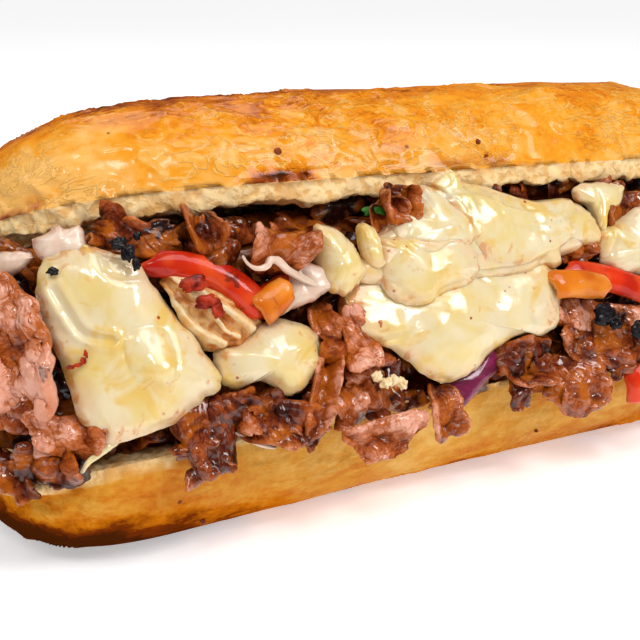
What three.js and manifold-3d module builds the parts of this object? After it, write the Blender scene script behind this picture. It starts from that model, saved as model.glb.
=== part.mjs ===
// A long soft roll, cut open along the front and both ends and hinged at the back, filled with
// shaved beef, melted cheese slices, pepper strips and onion. Millimetres, +X along the roll,
// -Y towards the open front, +Z up, the roll resting on z = 0.
import * as THREE from "three";
import { mergeVertices } from "three/addons/utils/BufferGeometryUtils.js";
import Module from "manifold-3d";

const wasm = await Module();
wasm.setup();

// Bottom half of the roll.
const HALF_LENGTH = 102;
const HALF_WIDTH = 40.5;
const LIP_HEIGHT = 29;
const BASE_BOXINESS = 9;
const BASE_BOW = -3.9;
const BASE_DISH = 3;

// Top half of the roll, tipped back about the hinge line behind the filling.
const TOP_HALF_WIDTH = 33.5;
const TOP_THICKNESS = 28;
const TOP_BOXINESS = 5;
const TOP_SHIFT_X = 5;
const TOP_DISH = 2.5;
const HINGE_Y = 36.7;
const HINGE_Z = 47.4;
const TILT_DEG = 25.2;
const TWIST_DEG = -3.1;

// The uncut web of crumb and crust that joins the halves at the back.
const WEB_HALF_LENGTH = 92;
const WEB_Y = 26;
const WEB_Z = 38.5;
const WEB_RADIUS_Y = 11.8;
const WEB_RADIUS_Z = 14;
const WEB_SQUARENESS = 0.5;
const WEB_LEAN = 0.2;

// The sloping front of the filling, from the lower lip up to the upper lip.
const UP = new THREE.Vector3(0, 0.331, 0.944);
const OUT = new THREE.Vector3(0, -0.944, 0.331);
const END_SETBACK = 20;

// Clear distance between neighbouring pieces.
const GAP = 0.35;

// The plainer, thicker copies of the slices that press their places into the heap.
const PAD_GAP = 1.8;
const PAD_COARSENESS = 3;

// Where the whole sandwich sits on the ground.
const SHIFT = new THREE.Vector3(-2.5, 6, 0);

// Height of the unevenness over the crust and the cut faces.
const RELIEF = 0.5;

// Sides of the roll's rings: over the crust, and over the cut face.
const ARC_STEPS = 12;
const FACE_STEPS = 5;

// Colour and roughness of each material.
const COLOURS = {
  crust: ["#d98f3f", 0.45],
  beef: ["#8a5044", 0.5],
  beef_dark: ["#5d3026", 0.5],
  cheese: ["#f2e6ae", 0.3],
  pepper_red: ["#c4200c", 0.2],
  pepper_orange: ["#e58a1c", 0.25],
  onion_white: ["#e6cfc0", 0.3],
  onion_red: ["#6d1f52", 0.3],
};

// A repeatable number between 0 and 1 for a seed and a counter.
function steady(seed, count) {
  const value = Math.sin(seed * 12.9898 + count * 78.233) * 43758.5453;
  return value - Math.floor(value);
}

// A smooth repeatable unevenness over two coordinates, about -1 to 1.
function ripple(seed, u, v) {
  let sum = 0;
  for (let i = 0; i < 4; i++) {
    const heading = 2 * Math.PI * steady(seed, 3 * i);
    const start = 2 * Math.PI * steady(seed, 3 * i + 1);
    const along = u * Math.cos(heading) + v * Math.sin(heading);
    sum += Math.sin((1.2 + 1.1 * i) * along + start) / (1 + 0.6 * i);
  }
  return sum / 2;
}

// How full the roll's plan is at x: 1 in the middle, 0 at the tip.
function fullness(x, half, boxiness) {
  return Math.sqrt(Math.max(0, 1 - Math.pow(Math.abs(x / half), boxiness)));
}

// A closed solid from a list of rings of equal length, with a single point at either end.
function loft(rings, firstTip, lastTip) {
  const points = [firstTip, ...rings.flat(), lastTip];
  const count = rings[0].length;
  const last = points.length - 1;
  const index = [];
  for (let j = 0; j < count; j++) {
    const k = (j + 1) % count;
    index.push(0, 1 + k, 1 + j);
    for (let i = 0; i + 1 < rings.length; i++) {
      const a = 1 + i * count;
      const b = a + count;
      index.push(a + j, a + k, b + j, a + k, b + k, b + j);
    }
    const end = 1 + (rings.length - 1) * count;
    index.push(end + j, end + k, last);
  }
  const geometry = new THREE.BufferGeometry().setFromPoints(points);
  geometry.setIndex(index);
  return geometry;
}

// The manifold solid of an indexed geometry, whichever way round its faces run.
function solidOf(geometry) {
  const bare = geometry.clone();
  bare.deleteAttribute("normal");
  bare.deleteAttribute("uv");
  const merged = mergeVertices(bare, 1e-4);
  const triVerts = new Uint32Array(merged.index.array);
  const build = () =>
    new wasm.Manifold(
      new wasm.Mesh({
        numProp: 3,
        vertProperties: merged.attributes.position.array,
        triVerts,
      }),
    );
  const made = build();
  if (made.volume() > 0) return made;
  triVerts.reverse();
  return build();
}

// The largest single body of a solid.
function mainBody(solid) {
  return solid.decompose().reduce((a, b) => (a.volume() > b.volume() ? a : b));
}

// Stations along the roll, closer together towards both tips.
function stations(half, steps) {
  const xs = [];
  for (let i = 1; i < 2 * steps; i++) {
    const w = i / steps - 1;
    xs.push(half * Math.sign(w) * (1 - Math.pow(1 - Math.abs(w), 2)));
  }
  return xs;
}

// One ring of the bottom half: crust from the front lip under to the back lip, then the cut face.
function baseRing(x, grow) {
  const t = fullness(x, HALF_LENGTH, BASE_BOXINESS);
  const lip = LIP_HEIGHT * (0.4 + 0.6 * t);
  const middle = BASE_BOW * Math.pow(x / 100, 2);
  const ring = [];
  for (let i = 0; i <= ARC_STEPS; i++) {
    const phi = (Math.PI * i) / ARC_STEPS;
    const c = Math.cos(phi);
    const s = Math.abs(Math.sin(phi));
    const bump = RELIEF * ripple(3, x / 16, phi * 3) * s;
    const y = -(HALF_WIDTH * t + grow + bump) * Math.sign(c) * Math.pow(Math.abs(c), 0.8);
    const drop = 1 - 1.12 * Math.pow(s, 0.75) * (0.35 + 0.65 * t);
    ring.push(new THREE.Vector3(x, middle + y, Math.max(0, lip * drop) - grow * s));
  }
  for (let i = 1; i < FACE_STEPS; i++) {
    const c = 1 - (2 * i) / FACE_STEPS;
    const dish = BASE_DISH * t * (1 - c * c) + RELIEF * ripple(4, x / 9, c * 4) * (1 - c * c);
    ring.push(new THREE.Vector3(x, middle + HALF_WIDTH * t * c, lip - dish + grow));
  }
  if (grow > 0) {
    ring[0].z += grow;
    ring[ARC_STEPS].z += grow;
  }
  return ring;
}

// A point of the top half from its place along the roll, its distance from the hinge and its height.
function topPoint(x, away, up) {
  const tilt = THREE.MathUtils.degToRad(TILT_DEG + (TWIST_DEG * x) / 100);
  return new THREE.Vector3(
    x + TOP_SHIFT_X,
    HINGE_Y - away * Math.cos(tilt) + up * Math.sin(tilt),
    HINGE_Z + away * Math.sin(tilt) + up * Math.cos(tilt),
  );
}

// One ring of the top half: crust from the front lip over to the back lip, then the cut face.
function topRing(x, grow) {
  const t = fullness(x, HALF_LENGTH, TOP_BOXINESS);
  const ring = [];
  for (let i = 0; i <= ARC_STEPS; i++) {
    const phi = (Math.PI * i) / ARC_STEPS;
    const s = Math.abs(Math.sin(phi));
    const bump = RELIEF * ripple(5, x / 16, phi * 3) * s;
    const away = TOP_HALF_WIDTH + (TOP_HALF_WIDTH * t + grow) * Math.cos(phi);
    const up = TOP_THICKNESS * Math.pow(t, 0.8) * Math.pow(s, 0.75) + (grow + bump) * s;
    ring.push(topPoint(x, away, i % ARC_STEPS === 0 ? up - grow : up));
  }
  for (let i = 1; i < FACE_STEPS; i++) {
    const c = -1 + (2 * i) / FACE_STEPS;
    const dish = TOP_DISH * t * (1 - c * c) + RELIEF * ripple(6, x / 9, c * 4) * (1 - c * c);
    ring.push(topPoint(x, TOP_HALF_WIDTH * (1 + t * c), dish - grow));
  }
  return ring;
}

// One ring of the web at the back.
function webRing(x, grow) {
  const t = Math.sqrt(fullness(x, WEB_HALF_LENGTH, 6));
  const bow = BASE_BOW * Math.pow(x / 100, 2);
  const ring = [];
  for (let i = 0; i < 12; i++) {
    const phi = (2 * Math.PI * i) / 12;
    const c = Math.cos(phi);
    const s = Math.sin(phi);
    const z = (WEB_RADIUS_Z * t + grow) * Math.sign(s) * Math.pow(Math.abs(s), WEB_SQUARENESS);
    const y = (WEB_RADIUS_Y * t + grow) * Math.sign(c) * Math.pow(Math.abs(c), WEB_SQUARENESS);
    ring.push(new THREE.Vector3(x, WEB_Y + y - WEB_LEAN * z + bow, WEB_Z + z));
  }
  return ring;
}

// The roll: two halves and the web between them. The grown copy is used to keep the filling clear.
function rollSolid(grow = 0) {
  const endY = BASE_BOW * Math.pow(HALF_LENGTH / 100, 2);
  const tip = (side) => new THREE.Vector3(side * (HALF_LENGTH + grow), endY, 0.34 * LIP_HEIGHT);
  const base = loft(
    stations(HALF_LENGTH, 11).map((x) => baseRing(x, grow)),
    tip(-1),
    tip(1),
  );
  const top = loft(
    stations(HALF_LENGTH, 11).map((x) => topRing(x, grow)),
    topPoint(-HALF_LENGTH - grow, TOP_HALF_WIDTH, 0.5),
    topPoint(HALF_LENGTH + grow, TOP_HALF_WIDTH, 0.5),
  );
  const webEndY = WEB_Y + BASE_BOW * 0.8;
  const web = loft(
    stations(WEB_HALF_LENGTH, 6).map((x) => webRing(x, grow)),
    new THREE.Vector3(-WEB_HALF_LENGTH, webEndY, WEB_Z),
    new THREE.Vector3(WEB_HALF_LENGTH, webEndY, WEB_Z),
  );
  return solidOf(base).add(solidOf(top)).add(solidOf(web));
}

// A place on the filling's front: x along the roll, mm up the slope from the lower lip, mm outwards.
// The front falls back towards both ends of the roll.
function place(x, up, out) {
  const setback = END_SETBACK * Math.pow(Math.min(1, Math.abs(x) / HALF_LENGTH), 8);
  return new THREE.Vector3(x, -HALF_WIDTH + setback, LIP_HEIGHT)
    .addScaledVector(UP, up)
    .addScaledVector(OUT, out);
}

// A thin wavy solid between four corners, given bottom left, bottom right, top right, top left.
// dome lifts its middle, curl lifts its sides, sag bends it in its own plane, waves ripples it.
function sheetSolid(piece, grow = 0) {
  const { corners, thick, seed } = piece;
  const { dome = 0, curl = [0, 0], sag = 0, waves = 0 } = piece;
  const { round = 0.4, ragged = 0.07, cells = [6, 5] } = piece;
  const [low, lowRight, high, highLeft] = corners.map((c) => (c.isVector3 ? c : place(...c)));
  const across = lowRight.clone().sub(low).add(high).sub(highLeft).multiplyScalar(0.25);
  const along = highLeft.clone().sub(low).add(high).sub(lowRight).multiplyScalar(0.25);
  const facing = across.clone().cross(along).normalize();
  const sagWay = along.clone().normalize();
  const spread = 1 + (2 * grow) / (across.length() + along.length());

  const middle = (p, q) => {
    const turn = Math.atan2(q, p);
    const edge = Math.max(Math.abs(p), Math.abs(q));
    const wobble = Math.sin(3 * turn + 6 * steady(seed, 20)) + Math.sin(5 * turn + 6 * steady(seed, 21));
    const reach = spread * (1 + ragged * edge * wobble);
    const u = p * Math.sqrt(1 - (round * q * q) / 2) * reach;
    const v = q * Math.sqrt(1 - (round * p * p) / 2) * reach;
    const lift =
      dome * (1 - p * p) * (1 - q * q) +
      curl[0] * u * u +
      curl[1] * v * v +
      waves * ripple(seed, (u * across.length()) / 4, (v * along.length()) / 4);
    const point = new THREE.Vector3();
    point.addScaledVector(low, 0.25 * (1 - u) * (1 - v));
    point.addScaledVector(lowRight, 0.25 * (1 + u) * (1 - v));
    point.addScaledVector(high, 0.25 * (1 + u) * (1 + v));
    point.addScaledVector(highLeft, 0.25 * (1 - u) * (1 + v));
    return point.addScaledVector(facing, lift).addScaledVector(sagWay, sag * (1 - u * u));
  };

  const [columns, rows] = cells;
  const front = [];
  const back = [];
  for (let j = 0; j <= rows; j++) {
    for (let i = 0; i <= columns; i++) {
      const p = (2 * i) / columns - 1;
      const q = (2 * j) / rows - 1;
      const here = middle(p, q);
      const normal = middle(p + 0.02, q)
        .sub(middle(p - 0.02, q))
        .cross(middle(p, q + 0.02).sub(middle(p, q - 0.02)))
        .normalize();
      const edge = Math.max(Math.abs(p), Math.abs(q));
      const half = 0.5 * thick * (1 - 0.55 * Math.pow(edge, 4)) + grow;
      front.push(here.clone().addScaledVector(normal, half));
      back.push(here.clone().addScaledVector(normal, -half));
    }
  }
  const width = columns + 1;
  const below = front.length;
  const index = [];
  const wall = (a, b) => index.push(a, a + below, b, b, a + below, b + below);
  for (let j = 0; j < rows; j++) {
    for (let i = 0; i < columns; i++) {
      const a = j * width + i;
      const b = a + 1;
      const c = a + width;
      const d = c + 1;
      index.push(a, b, c, b, d, c);
      index.push(a + below, c + below, b + below, b + below, c + below, d + below);
    }
    wall(j * width + columns, (j + 1) * width + columns);
    wall((j + 1) * width, j * width);
  }
  for (let i = 0; i < columns; i++) {
    wall(i, i + 1);
    wall(rows * width + i + 1, rows * width + i);
  }
  const geometry = new THREE.BufferGeometry().setFromPoints([...front, ...back]);
  geometry.setIndex(index);
  return solidOf(geometry);
}

// Melted cheese, the outermost layer.
const CHEESE = [
  {
    name: "cheese_slice_left",
    corners: [[-83, 6, 7], [-57, 11, 9], [-66, 38, 5], [-87, 40, 4]],
    thick: 3.2,
    dome: 2.5,
    waves: 0.7,
    round: 0.3,
    ragged: 0.03,
    cells: [8, 8],
  },
  {
    name: "cheese_fold_left",
    corners: [[-56, 10, 7], [-37, 5, 9], [-31, 20, 7], [-50, 22, 5]],
    thick: 5,
    dome: 4,
    round: 0.75,
    cells: [7, 6],
  },
  {
    name: "cheese_drop_centre",
    corners: [[-32, 26, 6], [-23, 25, 7], [-20, 37, 5], [-30, 42, 4]],
    thick: 4.5,
    dome: 3,
    round: 0.9,
    cells: [5, 6],
  },
  {
    name: "cheese_slice_lower",
    corners: [[-18, 4, 9], [18, 6, 8], [28, 23, 5], [-26, 27, 5]],
    thick: 3.4,
    dome: 3,
    waves: 0.8,
    round: 0.45,
    ragged: 0.05,
    cells: [9, 6],
  },
  {
    name: "cheese_fold_lower",
    corners: [[-17, 24, 9], [3, 21, 11], [9, 29, 9], [-14, 37, 7]],
    thick: 5,
    dome: 3,
    round: 0.8,
    cells: [7, 5],
  },
  {
    name: "cheese_fold_upper",
    corners: [[-14, 34, 5], [1, 29, 7], [7, 37, 5], [-6, 47, 2]],
    thick: 4.6,
    dome: 3,
    round: 0.8,
    cells: [6, 5],
  },
  {
    name: "cheese_slice_upper",
    corners: [[9, 27, 6], [43, 25, 6], [42, 40, 3], [0, 48, 1]],
    thick: 3,
    dome: 2,
    waves: 0.8,
    round: 0.35,
    ragged: 0.04,
    cells: [9, 6],
  },
  {
    name: "cheese_slice_right",
    corners: [[44, 18, 5], [70, 15, 7], [72, 36, 3], [43, 32, 3]],
    thick: 3.2,
    dome: 2.5,
    waves: 0.7,
    round: 0.35,
    ragged: 0.04,
    cells: [8, 6],
  },
  {
    name: "cheese_fold_right",
    corners: [[74, 8, 8], [90, 10, 6], [88, 26, 4], [73, 25, 5]],
    thick: 4.6,
    dome: 3,
    round: 0.75,
    cells: [6, 6],
  },
];

// Pepper strips.
const PEPPERS = [
  {
    name: "pepper_red_left",
    corners: [[-69, 35, 3], [-48, 23, 6], [-43, 27, 6], [-66, 40, 3]],
    thick: 2.6,
    sag: 3.5,
    curl: [0, -1.6],
    cells: [8, 3],
  },
  {
    name: "pepper_red_centre",
    corners: [[-46, 23, 5], [-34, 29, 3], [-35, 34, 3], [-48, 28, 5]],
    thick: 2.4,
    curl: [0, -1.4],
    cells: [5, 3],
  },
  {
    name: "pepper_orange_centre",
    corners: [[-45, 22, 8], [-38, 27, 8], [-40, 32, 6], [-48, 28, 7]],
    thick: 2.4,
    curl: [0, -1.2],
    cells: [4, 3],
  },
  {
    name: "pepper_orange_right",
    corners: [[25, 17, 9], [39, 15, 9], [42, 20, 8], [24, 24, 7]],
    thick: 2.6,
    sag: 1,
    curl: [0, -1.4],
    cells: [5, 3],
  },
  {
    name: "pepper_red_right",
    corners: [[31, 20, 5], [60, 7, 8], [62, 13, 7], [31, 26, 4]],
    thick: 2.6,
    sag: 2,
    curl: [0, -1.4],
    cells: [7, 2],
  },
  {
    name: "pepper_red_low",
    corners: [[43, -11, 7], [56, -12, 6], [57, -1, 6], [44, -1, 7]],
    thick: 2.6,
    dome: 1.5,
    curl: [-1, -1],
    cells: [4, 4],
  },
  {
    name: "pepper_orange_end",
    corners: [[73, -2, 10], [87, -5, 9], [88, 1, 8], [75, 5, 9]],
    thick: 2.6,
    sag: 1,
    curl: [0, -1.4],
    cells: [5, 3],
  },
];

// Onion pieces.
const ONIONS = [
  {
    name: "onion_white_left",
    colour: "onion_white",
    corners: [[-87, 39, 3], [-77, 41, 3], [-76, 47, 2], [-87, 47, 1]],
    thick: 2,
    curl: [-1, -1],
    cells: [4, 3],
  },
  {
    name: "onion_white_end",
    colour: "onion_white",
    corners: [[-97, 35, 3], [-88, 37, 3], [-86, 42, 2], [-96, 41, 2]],
    thick: 2,
    curl: [-1, -1],
    cells: [4, 3],
  },
  {
    name: "onion_white_centre",
    colour: "onion_white",
    corners: [[-38, 24, 5], [-30, 24, 5], [-29, 33, 4], [-38, 33, 4]],
    thick: 2,
    curl: [-1, -1],
    cells: [4, 3],
  },
  {
    name: "onion_white_low",
    colour: "onion_white",
    corners: [[-61, 20, 4], [-49, 18, 5], [-50, 27, 4], [-64, 32, 3]],
    thick: 2,
    dome: 1.5,
    cells: [4, 4],
  },
  {
    name: "onion_red_centre",
    colour: "onion_red",
    corners: [[-2, -3, 5], [10, 3, 5], [9, 7, 4], [-4, 3, 4]],
    thick: 2,
    curl: [0, -1],
    cells: [4, 3],
  },
];

// Shaved beef, roughly from the left end to the right.
const BEEF = [
  { corners: [[-100, 13, 5], [-84, 12, 6], [-86, 35, 5], [-98, 36, 2]], thick: 6, dome: 3 },
  { corners: [[-101, 4, 5], [-90, 5, 6], [-90, 15, 5], [-101, 15, 4]], thick: 4, dome: 1.5 },
  { corners: [[-93, 1, 7], [-77, 2, 8], [-78, 11, 4], [-93, 11, 4]], thick: 3, curl: [1, -1] },
  { corners: [[-98, -6, 6], [-83, -5, 7], [-83, 3, 6], [-96, 4, 6]], thick: 3, dome: 1.5 },
  { corners: [[-101, -8, 4], [-92, -9, 5], [-93, -1, 6], [-101, 0, 5]], thick: 3, dome: 1 },
  { corners: [[-76, 39, 1], [-57, 37, 2], [-60, 45, 0], [-77, 48, 0]], thick: 3, waves: 1 },
  { corners: [[-57, 37, 2], [-49, 37, 4], [-50, 47, 0], [-59, 48, 0]], thick: 2.6, curl: [3, 0] },
  { corners: [[-48, 31, 5], [-34, 33, 6], [-27, 44, 2], [-43, 48, 1]], thick: 3.4, curl: [3, -2] },
  { corners: [[-15, 37, 2], [-5, 38, 3], [-4, 47, 0], [-15, 48, 0]], thick: 3, curl: [2, 0] },
  { corners: [[31, 24, 2], [44, 25, 3], [46, 30, 2], [32, 30, 1]], thick: 2.6, waves: 1 },
  { corners: [[46, 31, 1], [60, 29, 1], [61, 41, -1], [46, 41, 0]], thick: 3, curl: [2, 0] },
  { corners: [[-29, -11, 8], [-18, -10, 9], [-10, 1, 8], [-35, -1, 7]], thick: 2.4, curl: [-2, -2] },
  { corners: [[-32, -2, 5], [-17, -1, 6], [-12, 7, 5], [-31, 8, 4]], thick: 2.6, curl: [1, -2] },
  { corners: [[-30, 8, 4], [-19, 8, 6], [-18, 21, 4], [-28, 25, 2]], thick: 3, dome: 2 },
  { corners: [[-43, -4, 8], [-36, -3, 9], [-28, 14, 5], [-34, 16, 4]], thick: 2.6, curl: [2, 0] },
  { corners: [[-12, -10, 6], [-3, -9, 7], [-3, 3, 5], [-12, 4, 5]], thick: 2.6, curl: [4, -2] },
  { corners: [[-65, -6, 8], [-54, -6, 8], [-53, 11, 5], [-69, 11, 4]], thick: 2.8, waves: 1.2 },
  { corners: [[-54, -1, 7], [-39, -6, 8], [-34, 4, 6], [-56, 11, 4]], thick: 2.8, waves: 1.2 },
  { corners: [[10, -2, 6], [22, -3, 7], [25, 9, 4], [9, 11, 4]], thick: 3, waves: 1.2 },
  { corners: [[23, -11, 8], [37, -10, 8], [41, 2, 5], [20, 5, 5]], thick: 3, waves: 1 },
  { corners: [[27, 2, 4], [50, -5, 6], [51, 7, 4], [27, 13, 3]], thick: 3, waves: 1.2 },
  { corners: [[24, 11, 3], [53, 2, 4], [55, 11, 2], [24, 19, 1]], thick: 3, waves: 0.8 },
  { corners: [[-34, 13, 3], [-28, 14, 3], [-28, 26, 1], [-34, 25, 1]], thick: 2.6, curl: [3, 0] },
  { corners: [[54, -9, 7], [70, -10, 8], [73, 6, 5], [55, 7, 5]], thick: 3, waves: 1.2 },
  { corners: [[57, 6, 3], [76, 1, 5], [80, 15, 3], [60, 17, 1]], thick: 3, waves: 1 },
  { corners: [[84, -7, 7], [99, -6, 6], [98, 10, 4], [85, 8, 5]], thick: 3, waves: 1 },
  { corners: [[72, 28, 2], [88, 27, 2], [88, 40, 0], [72, 42, 0]], thick: 3, curl: [2, 0] },
  { corners: [[89, 12, 5], [100, 11, 4], [98, 29, 2], [88, 30, 3]], thick: 4.5, dome: 2 },
];

// Small shreds that are part of the heap: some along its front, and three at each end.
const SHRED_COUNT = 9;
const END_SHREDS = [
  [-14, 38],
  [2, 44],
  [-10, 54],
];

// The wedge of chopped beef that fills the mouth of the roll behind the slices, with its shreds.
function heapSolid() {
  const profile = [
    [-39, 27],
    [-40.5, 32],
    [-37, 44],
    [-31.5, 58],
    [-23.5, 73],
    [-6, 71],
    [12, 57],
    [15, 44],
    [14, 26],
  ];
  const half = 99;
  const rings = stations(half, 9).map((x) => {
    const t = fullness(x, half, 12);
    return profile.map(([y, z], i) => {
      const bulge = i < 5 ? 1.5 * ripple(11, x / 7, i * 1.7) : 0;
      return new THREE.Vector3(x, y * t - bulge, 40 + (z - 40) * (0.5 + 0.5 * t));
    });
  });
  const tip = (side) => new THREE.Vector3(side * half, 2, 38);
  let heap = solidOf(loft(rings, tip(-1), tip(1)));
  for (let i = 0; i < SHRED_COUNT; i++) {
    const x = -92 + (184 * (i + 0.5)) / SHRED_COUNT + 5 * (steady(40, i) - 0.5);
    const up = 4 + 36 * steady(41, i);
    const a = 5 + 4 * steady(42, i);
    const b = 2 + 2 * steady(43, i);
    const slant = 6 * (steady(44, i) - 0.5);
    const shred = {
      corners: [
        [x - a, up - b - slant, 1],
        [x + a, up - b + slant, 2],
        [x + a, up + b + slant, 1],
        [x - a, up + b - slant, 0],
      ],
      thick: 3.4,
      curl: [1.5, 0],
      cells: [3, 2],
      seed: 60 + i,
    };
    heap = heap.add(sheetSolid(shred));
  }
  for (const side of [-1, 1]) {
    END_SHREDS.forEach(([y, z], i) => {
      const x = side * (half - 5);
      const a = 8 * side;
      const shred = {
        corners: [
          new THREE.Vector3(x, y - a, z - 5),
          new THREE.Vector3(x, y + a, z - 3),
          new THREE.Vector3(x, y + a, z + 4),
          new THREE.Vector3(x, y - a, z + 3),
        ],
        thick: 5,
        dome: 1.5,
        waves: 1,
        cells: [3, 2],
        seed: 90 + i + 5 * side,
      };
      heap = heap.add(sheetSolid(shred));
    });
  }
  return heap;
}

const group = new THREE.Group();
group.name = "filled_roll";

function addNode(name, solid, colour) {
  const mesh = solid.getMesh();
  const step = mesh.numProp;
  const places = [];
  for (let i = 0; i < mesh.numVert; i++) {
    const [x, y, z] = mesh.vertProperties.subarray(i * step, i * step + 3);
    places.push(new THREE.Vector3(x, y, z).add(SHIFT));
  }
  const geometry = new THREE.BufferGeometry().setFromPoints(places);
  geometry.setIndex(new THREE.BufferAttribute(mesh.triVerts, 1));
  const flat = geometry.toNonIndexed();
  flat.computeVertexNormals();
  const [color, roughness] = COLOURS[colour];
  const material = new THREE.MeshStandardMaterial({ color, roughness, metalness: 0 });
  const node = new THREE.Mesh(flat, material);
  node.name = name;
  group.add(node);
}

const grownRoll = rollSolid(GAP);
addNode("roll", rollSolid(), "crust");

// Each piece keeps clear of the roll and of every piece listed before it.
const pieces = [
  ...CHEESE.map((piece) => ({ ...piece, colour: "cheese" })),
  ...PEPPERS.map((piece) => ({ ...piece, colour: piece.name.split("_").slice(0, 2).join("_") })),
  ...ONIONS,
  ...BEEF.map((piece, i) => ({
    cells: [4, 4],
    ...piece,
    name: "beef_slice_" + String(i + 1).padStart(2, "0"),
    colour: "beef",
  })),
];
const taken = [];
const pads = [];
pieces.forEach((piece, i) => {
  const seeded = { ...piece, seed: i + 1 };
  let solid = sheetSolid(seeded).subtract(grownRoll);
  for (const other of taken) solid = solid.subtract(other);
  addNode(piece.name, mainBody(solid), piece.colour);
  taken.push(sheetSolid(seeded, GAP));
  const cells = piece.cells.map((n) => Math.ceil(n / PAD_COARSENESS));
  pads.push(sheetSolid({ ...seeded, cells }, PAD_GAP));
});

let heap = heapSolid().subtract(grownRoll);
for (const other of [...pads, ...taken]) heap = heap.subtract(other);
addNode("beef_heap", mainBody(heap), "beef_dark");

export default group;
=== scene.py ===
"""A long soft roll, hinged at the back and filled with shaved beef, melted cheese, peppers and onion.

Shapes are worked out in millimetres with numpy and become metres when a mesh is made.
"""

import math

import bpy
import numpy as np
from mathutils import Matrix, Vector


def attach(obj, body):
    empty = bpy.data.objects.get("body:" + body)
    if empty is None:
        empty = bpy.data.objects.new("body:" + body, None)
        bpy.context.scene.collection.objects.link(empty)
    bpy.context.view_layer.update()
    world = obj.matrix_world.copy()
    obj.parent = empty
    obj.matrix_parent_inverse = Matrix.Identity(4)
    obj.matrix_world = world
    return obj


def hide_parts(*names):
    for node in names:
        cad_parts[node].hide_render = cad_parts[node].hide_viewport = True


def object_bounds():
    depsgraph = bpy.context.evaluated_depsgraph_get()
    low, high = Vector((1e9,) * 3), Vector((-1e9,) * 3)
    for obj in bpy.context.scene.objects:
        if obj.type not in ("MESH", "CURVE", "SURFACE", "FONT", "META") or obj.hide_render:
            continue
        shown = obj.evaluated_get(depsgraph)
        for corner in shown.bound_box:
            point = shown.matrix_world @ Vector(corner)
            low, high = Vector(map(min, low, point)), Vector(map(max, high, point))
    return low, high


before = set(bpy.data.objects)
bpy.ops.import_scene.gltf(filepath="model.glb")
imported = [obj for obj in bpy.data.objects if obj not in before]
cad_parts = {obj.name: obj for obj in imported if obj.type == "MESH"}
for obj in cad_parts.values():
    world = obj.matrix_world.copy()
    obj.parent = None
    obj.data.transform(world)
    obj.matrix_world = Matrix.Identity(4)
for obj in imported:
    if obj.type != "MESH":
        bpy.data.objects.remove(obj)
cad_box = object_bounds()

MM = 0.001
SHIFT = np.array((-2.5, 6.0, 0.0))

# Bottom half of the roll.
HALF_LENGTH = 102.0
HALF_WIDTH = 40.5
LIP_HEIGHT = 29.0
BASE_BOXINESS = 9
BASE_BOW = -3.9
BASE_DISH = 3.0

# Top half of the roll, tipped back about the hinge line behind the filling.
TOP_HALF_WIDTH = 33.5
TOP_THICKNESS = 28.0
TOP_BOXINESS = 5
TOP_SHIFT_X = 5.0
TOP_DISH = 2.5
HINGE_Y = 36.7
HINGE_Z = 47.4
TILT_DEG = 25.2
TWIST_DEG = -3.1

# How far the torn crumb hangs below the upper lip.
CRUMB_LIP = 4.6

# Long creases of the upper crust: (along, around) places, depth and width.
TOP_FOLDS = (
    (((-70, 62), (-54, 56), (-45, 58), (-36, 52), (-28, 55)), 0.5, 1.0),
    (((-96, 40), (-84, 46), (-74, 44), (-66, 50)), 0.4, 0.9),
    (((-10, 60), (8, 66), (26, 60), (44, 64)), 0.35, 1.0),
    (((30, 48), (48, 44), (66, 50), (82, 46)), 0.35, 0.9),
)

# The uncut web that joins the halves at the back.
WEB_HALF_LENGTH = 92.0
WEB_Y = 26.0
WEB_Z = 38.5
WEB_RADIUS_Y = 11.8
WEB_RADIUS_Z = 14.0
WEB_SQUARENESS = 0.5
WEB_LEAN = 0.2

# The sloping front of the filling, from the lower lip up to the upper lip.
UP = np.array((0.0, 0.331, 0.944))
OUT = np.array((0.0, -0.944, 0.331))
END_SETBACK = 20.0

# How far melted cheese droops at its edge, and how softly a slice blends into one that it lies on.
DROOP = 1.8
MELT = 1.1

# The heap behind the slices: half its length, and the height that it shrinks towards at its ends.
HEAP_HALF_LENGTH = 96.0
HEAP_MIDDLE_Z = 40

# Torn shreds over the heap: columns and rows on its front, how far up they reach, and columns and
# rows over each end.
HEAP_COLUMNS = 26
HEAP_ROWS = 7
HEAP_TOP = 46
END_COLUMNS = 5
END_ROWS = 4

# Small rolled shreds on a slice of beef, where it names no number, and how far out they may lie.
RIBBONS = 4
RIBBON_REACH = 6.4

# How finely closed shapes are divided: steps from the middle to a tip, and points round a section.
BASE_STEPS = 230
BASE_CRUST_POINTS = 121
BASE_FACE_POINTS = 88
TOP_STEPS = 214
TOP_CRUST_POINTS = 141
TOP_FACE_POINTS = 84
WEB_STEPS = 110
WEB_POINTS = 96
HEAP_STEPS = 110
HEAP_POINTS = 72

# Seeds of the unevenness: the first of each kind of piece.
CHEESE_SEED = 1
PEPPER_SEED = 20
ONION_SEED = 30
BLANKET_SEED = 59
CHEESE_BIT_SEED = 60
BEEF_SEED = 100
HEAP_SEED = 200
END_SEED = 500
BIT_SEED = 700
TOP_DOT_SEED = 760
BASE_DOT_SEED = 780
THREAD_SEED = 800
HERB_SEED = 820

# Threads: samples along, points round, how lumpy they are, and how far a tip reaches, as a share of
# the radius.
THREAD_SAMPLES = 60
THREAD_POINTS = 12
THREAD_LUMPS = 0.25
THREAD_TIP = 0.6

# Corners of a square, and the number of cells across and up a sheet of each kind.
SQUARE = ((-1, -1), (1, -1), (1, 1), (-1, 1))
SLICE_CELLS = (64, 52)
STRIP_CELLS = (48, 20)
RIBBON_CELLS = (24, 18)
SHRED_CELLS = (16, 12)

# Camera: direction it looks from, distance, target and lens.
VIEW_AZIMUTH = -25.0
VIEW_ELEVATION = 21.0
VIEW_DISTANCE = 253.9
VIEW_TARGET = np.array((-14.9, 0.0, 34.6)) + SHIFT
LENS = 56.25
SENSOR_WIDTH = 36.0


# Repeatable unevenness.


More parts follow.
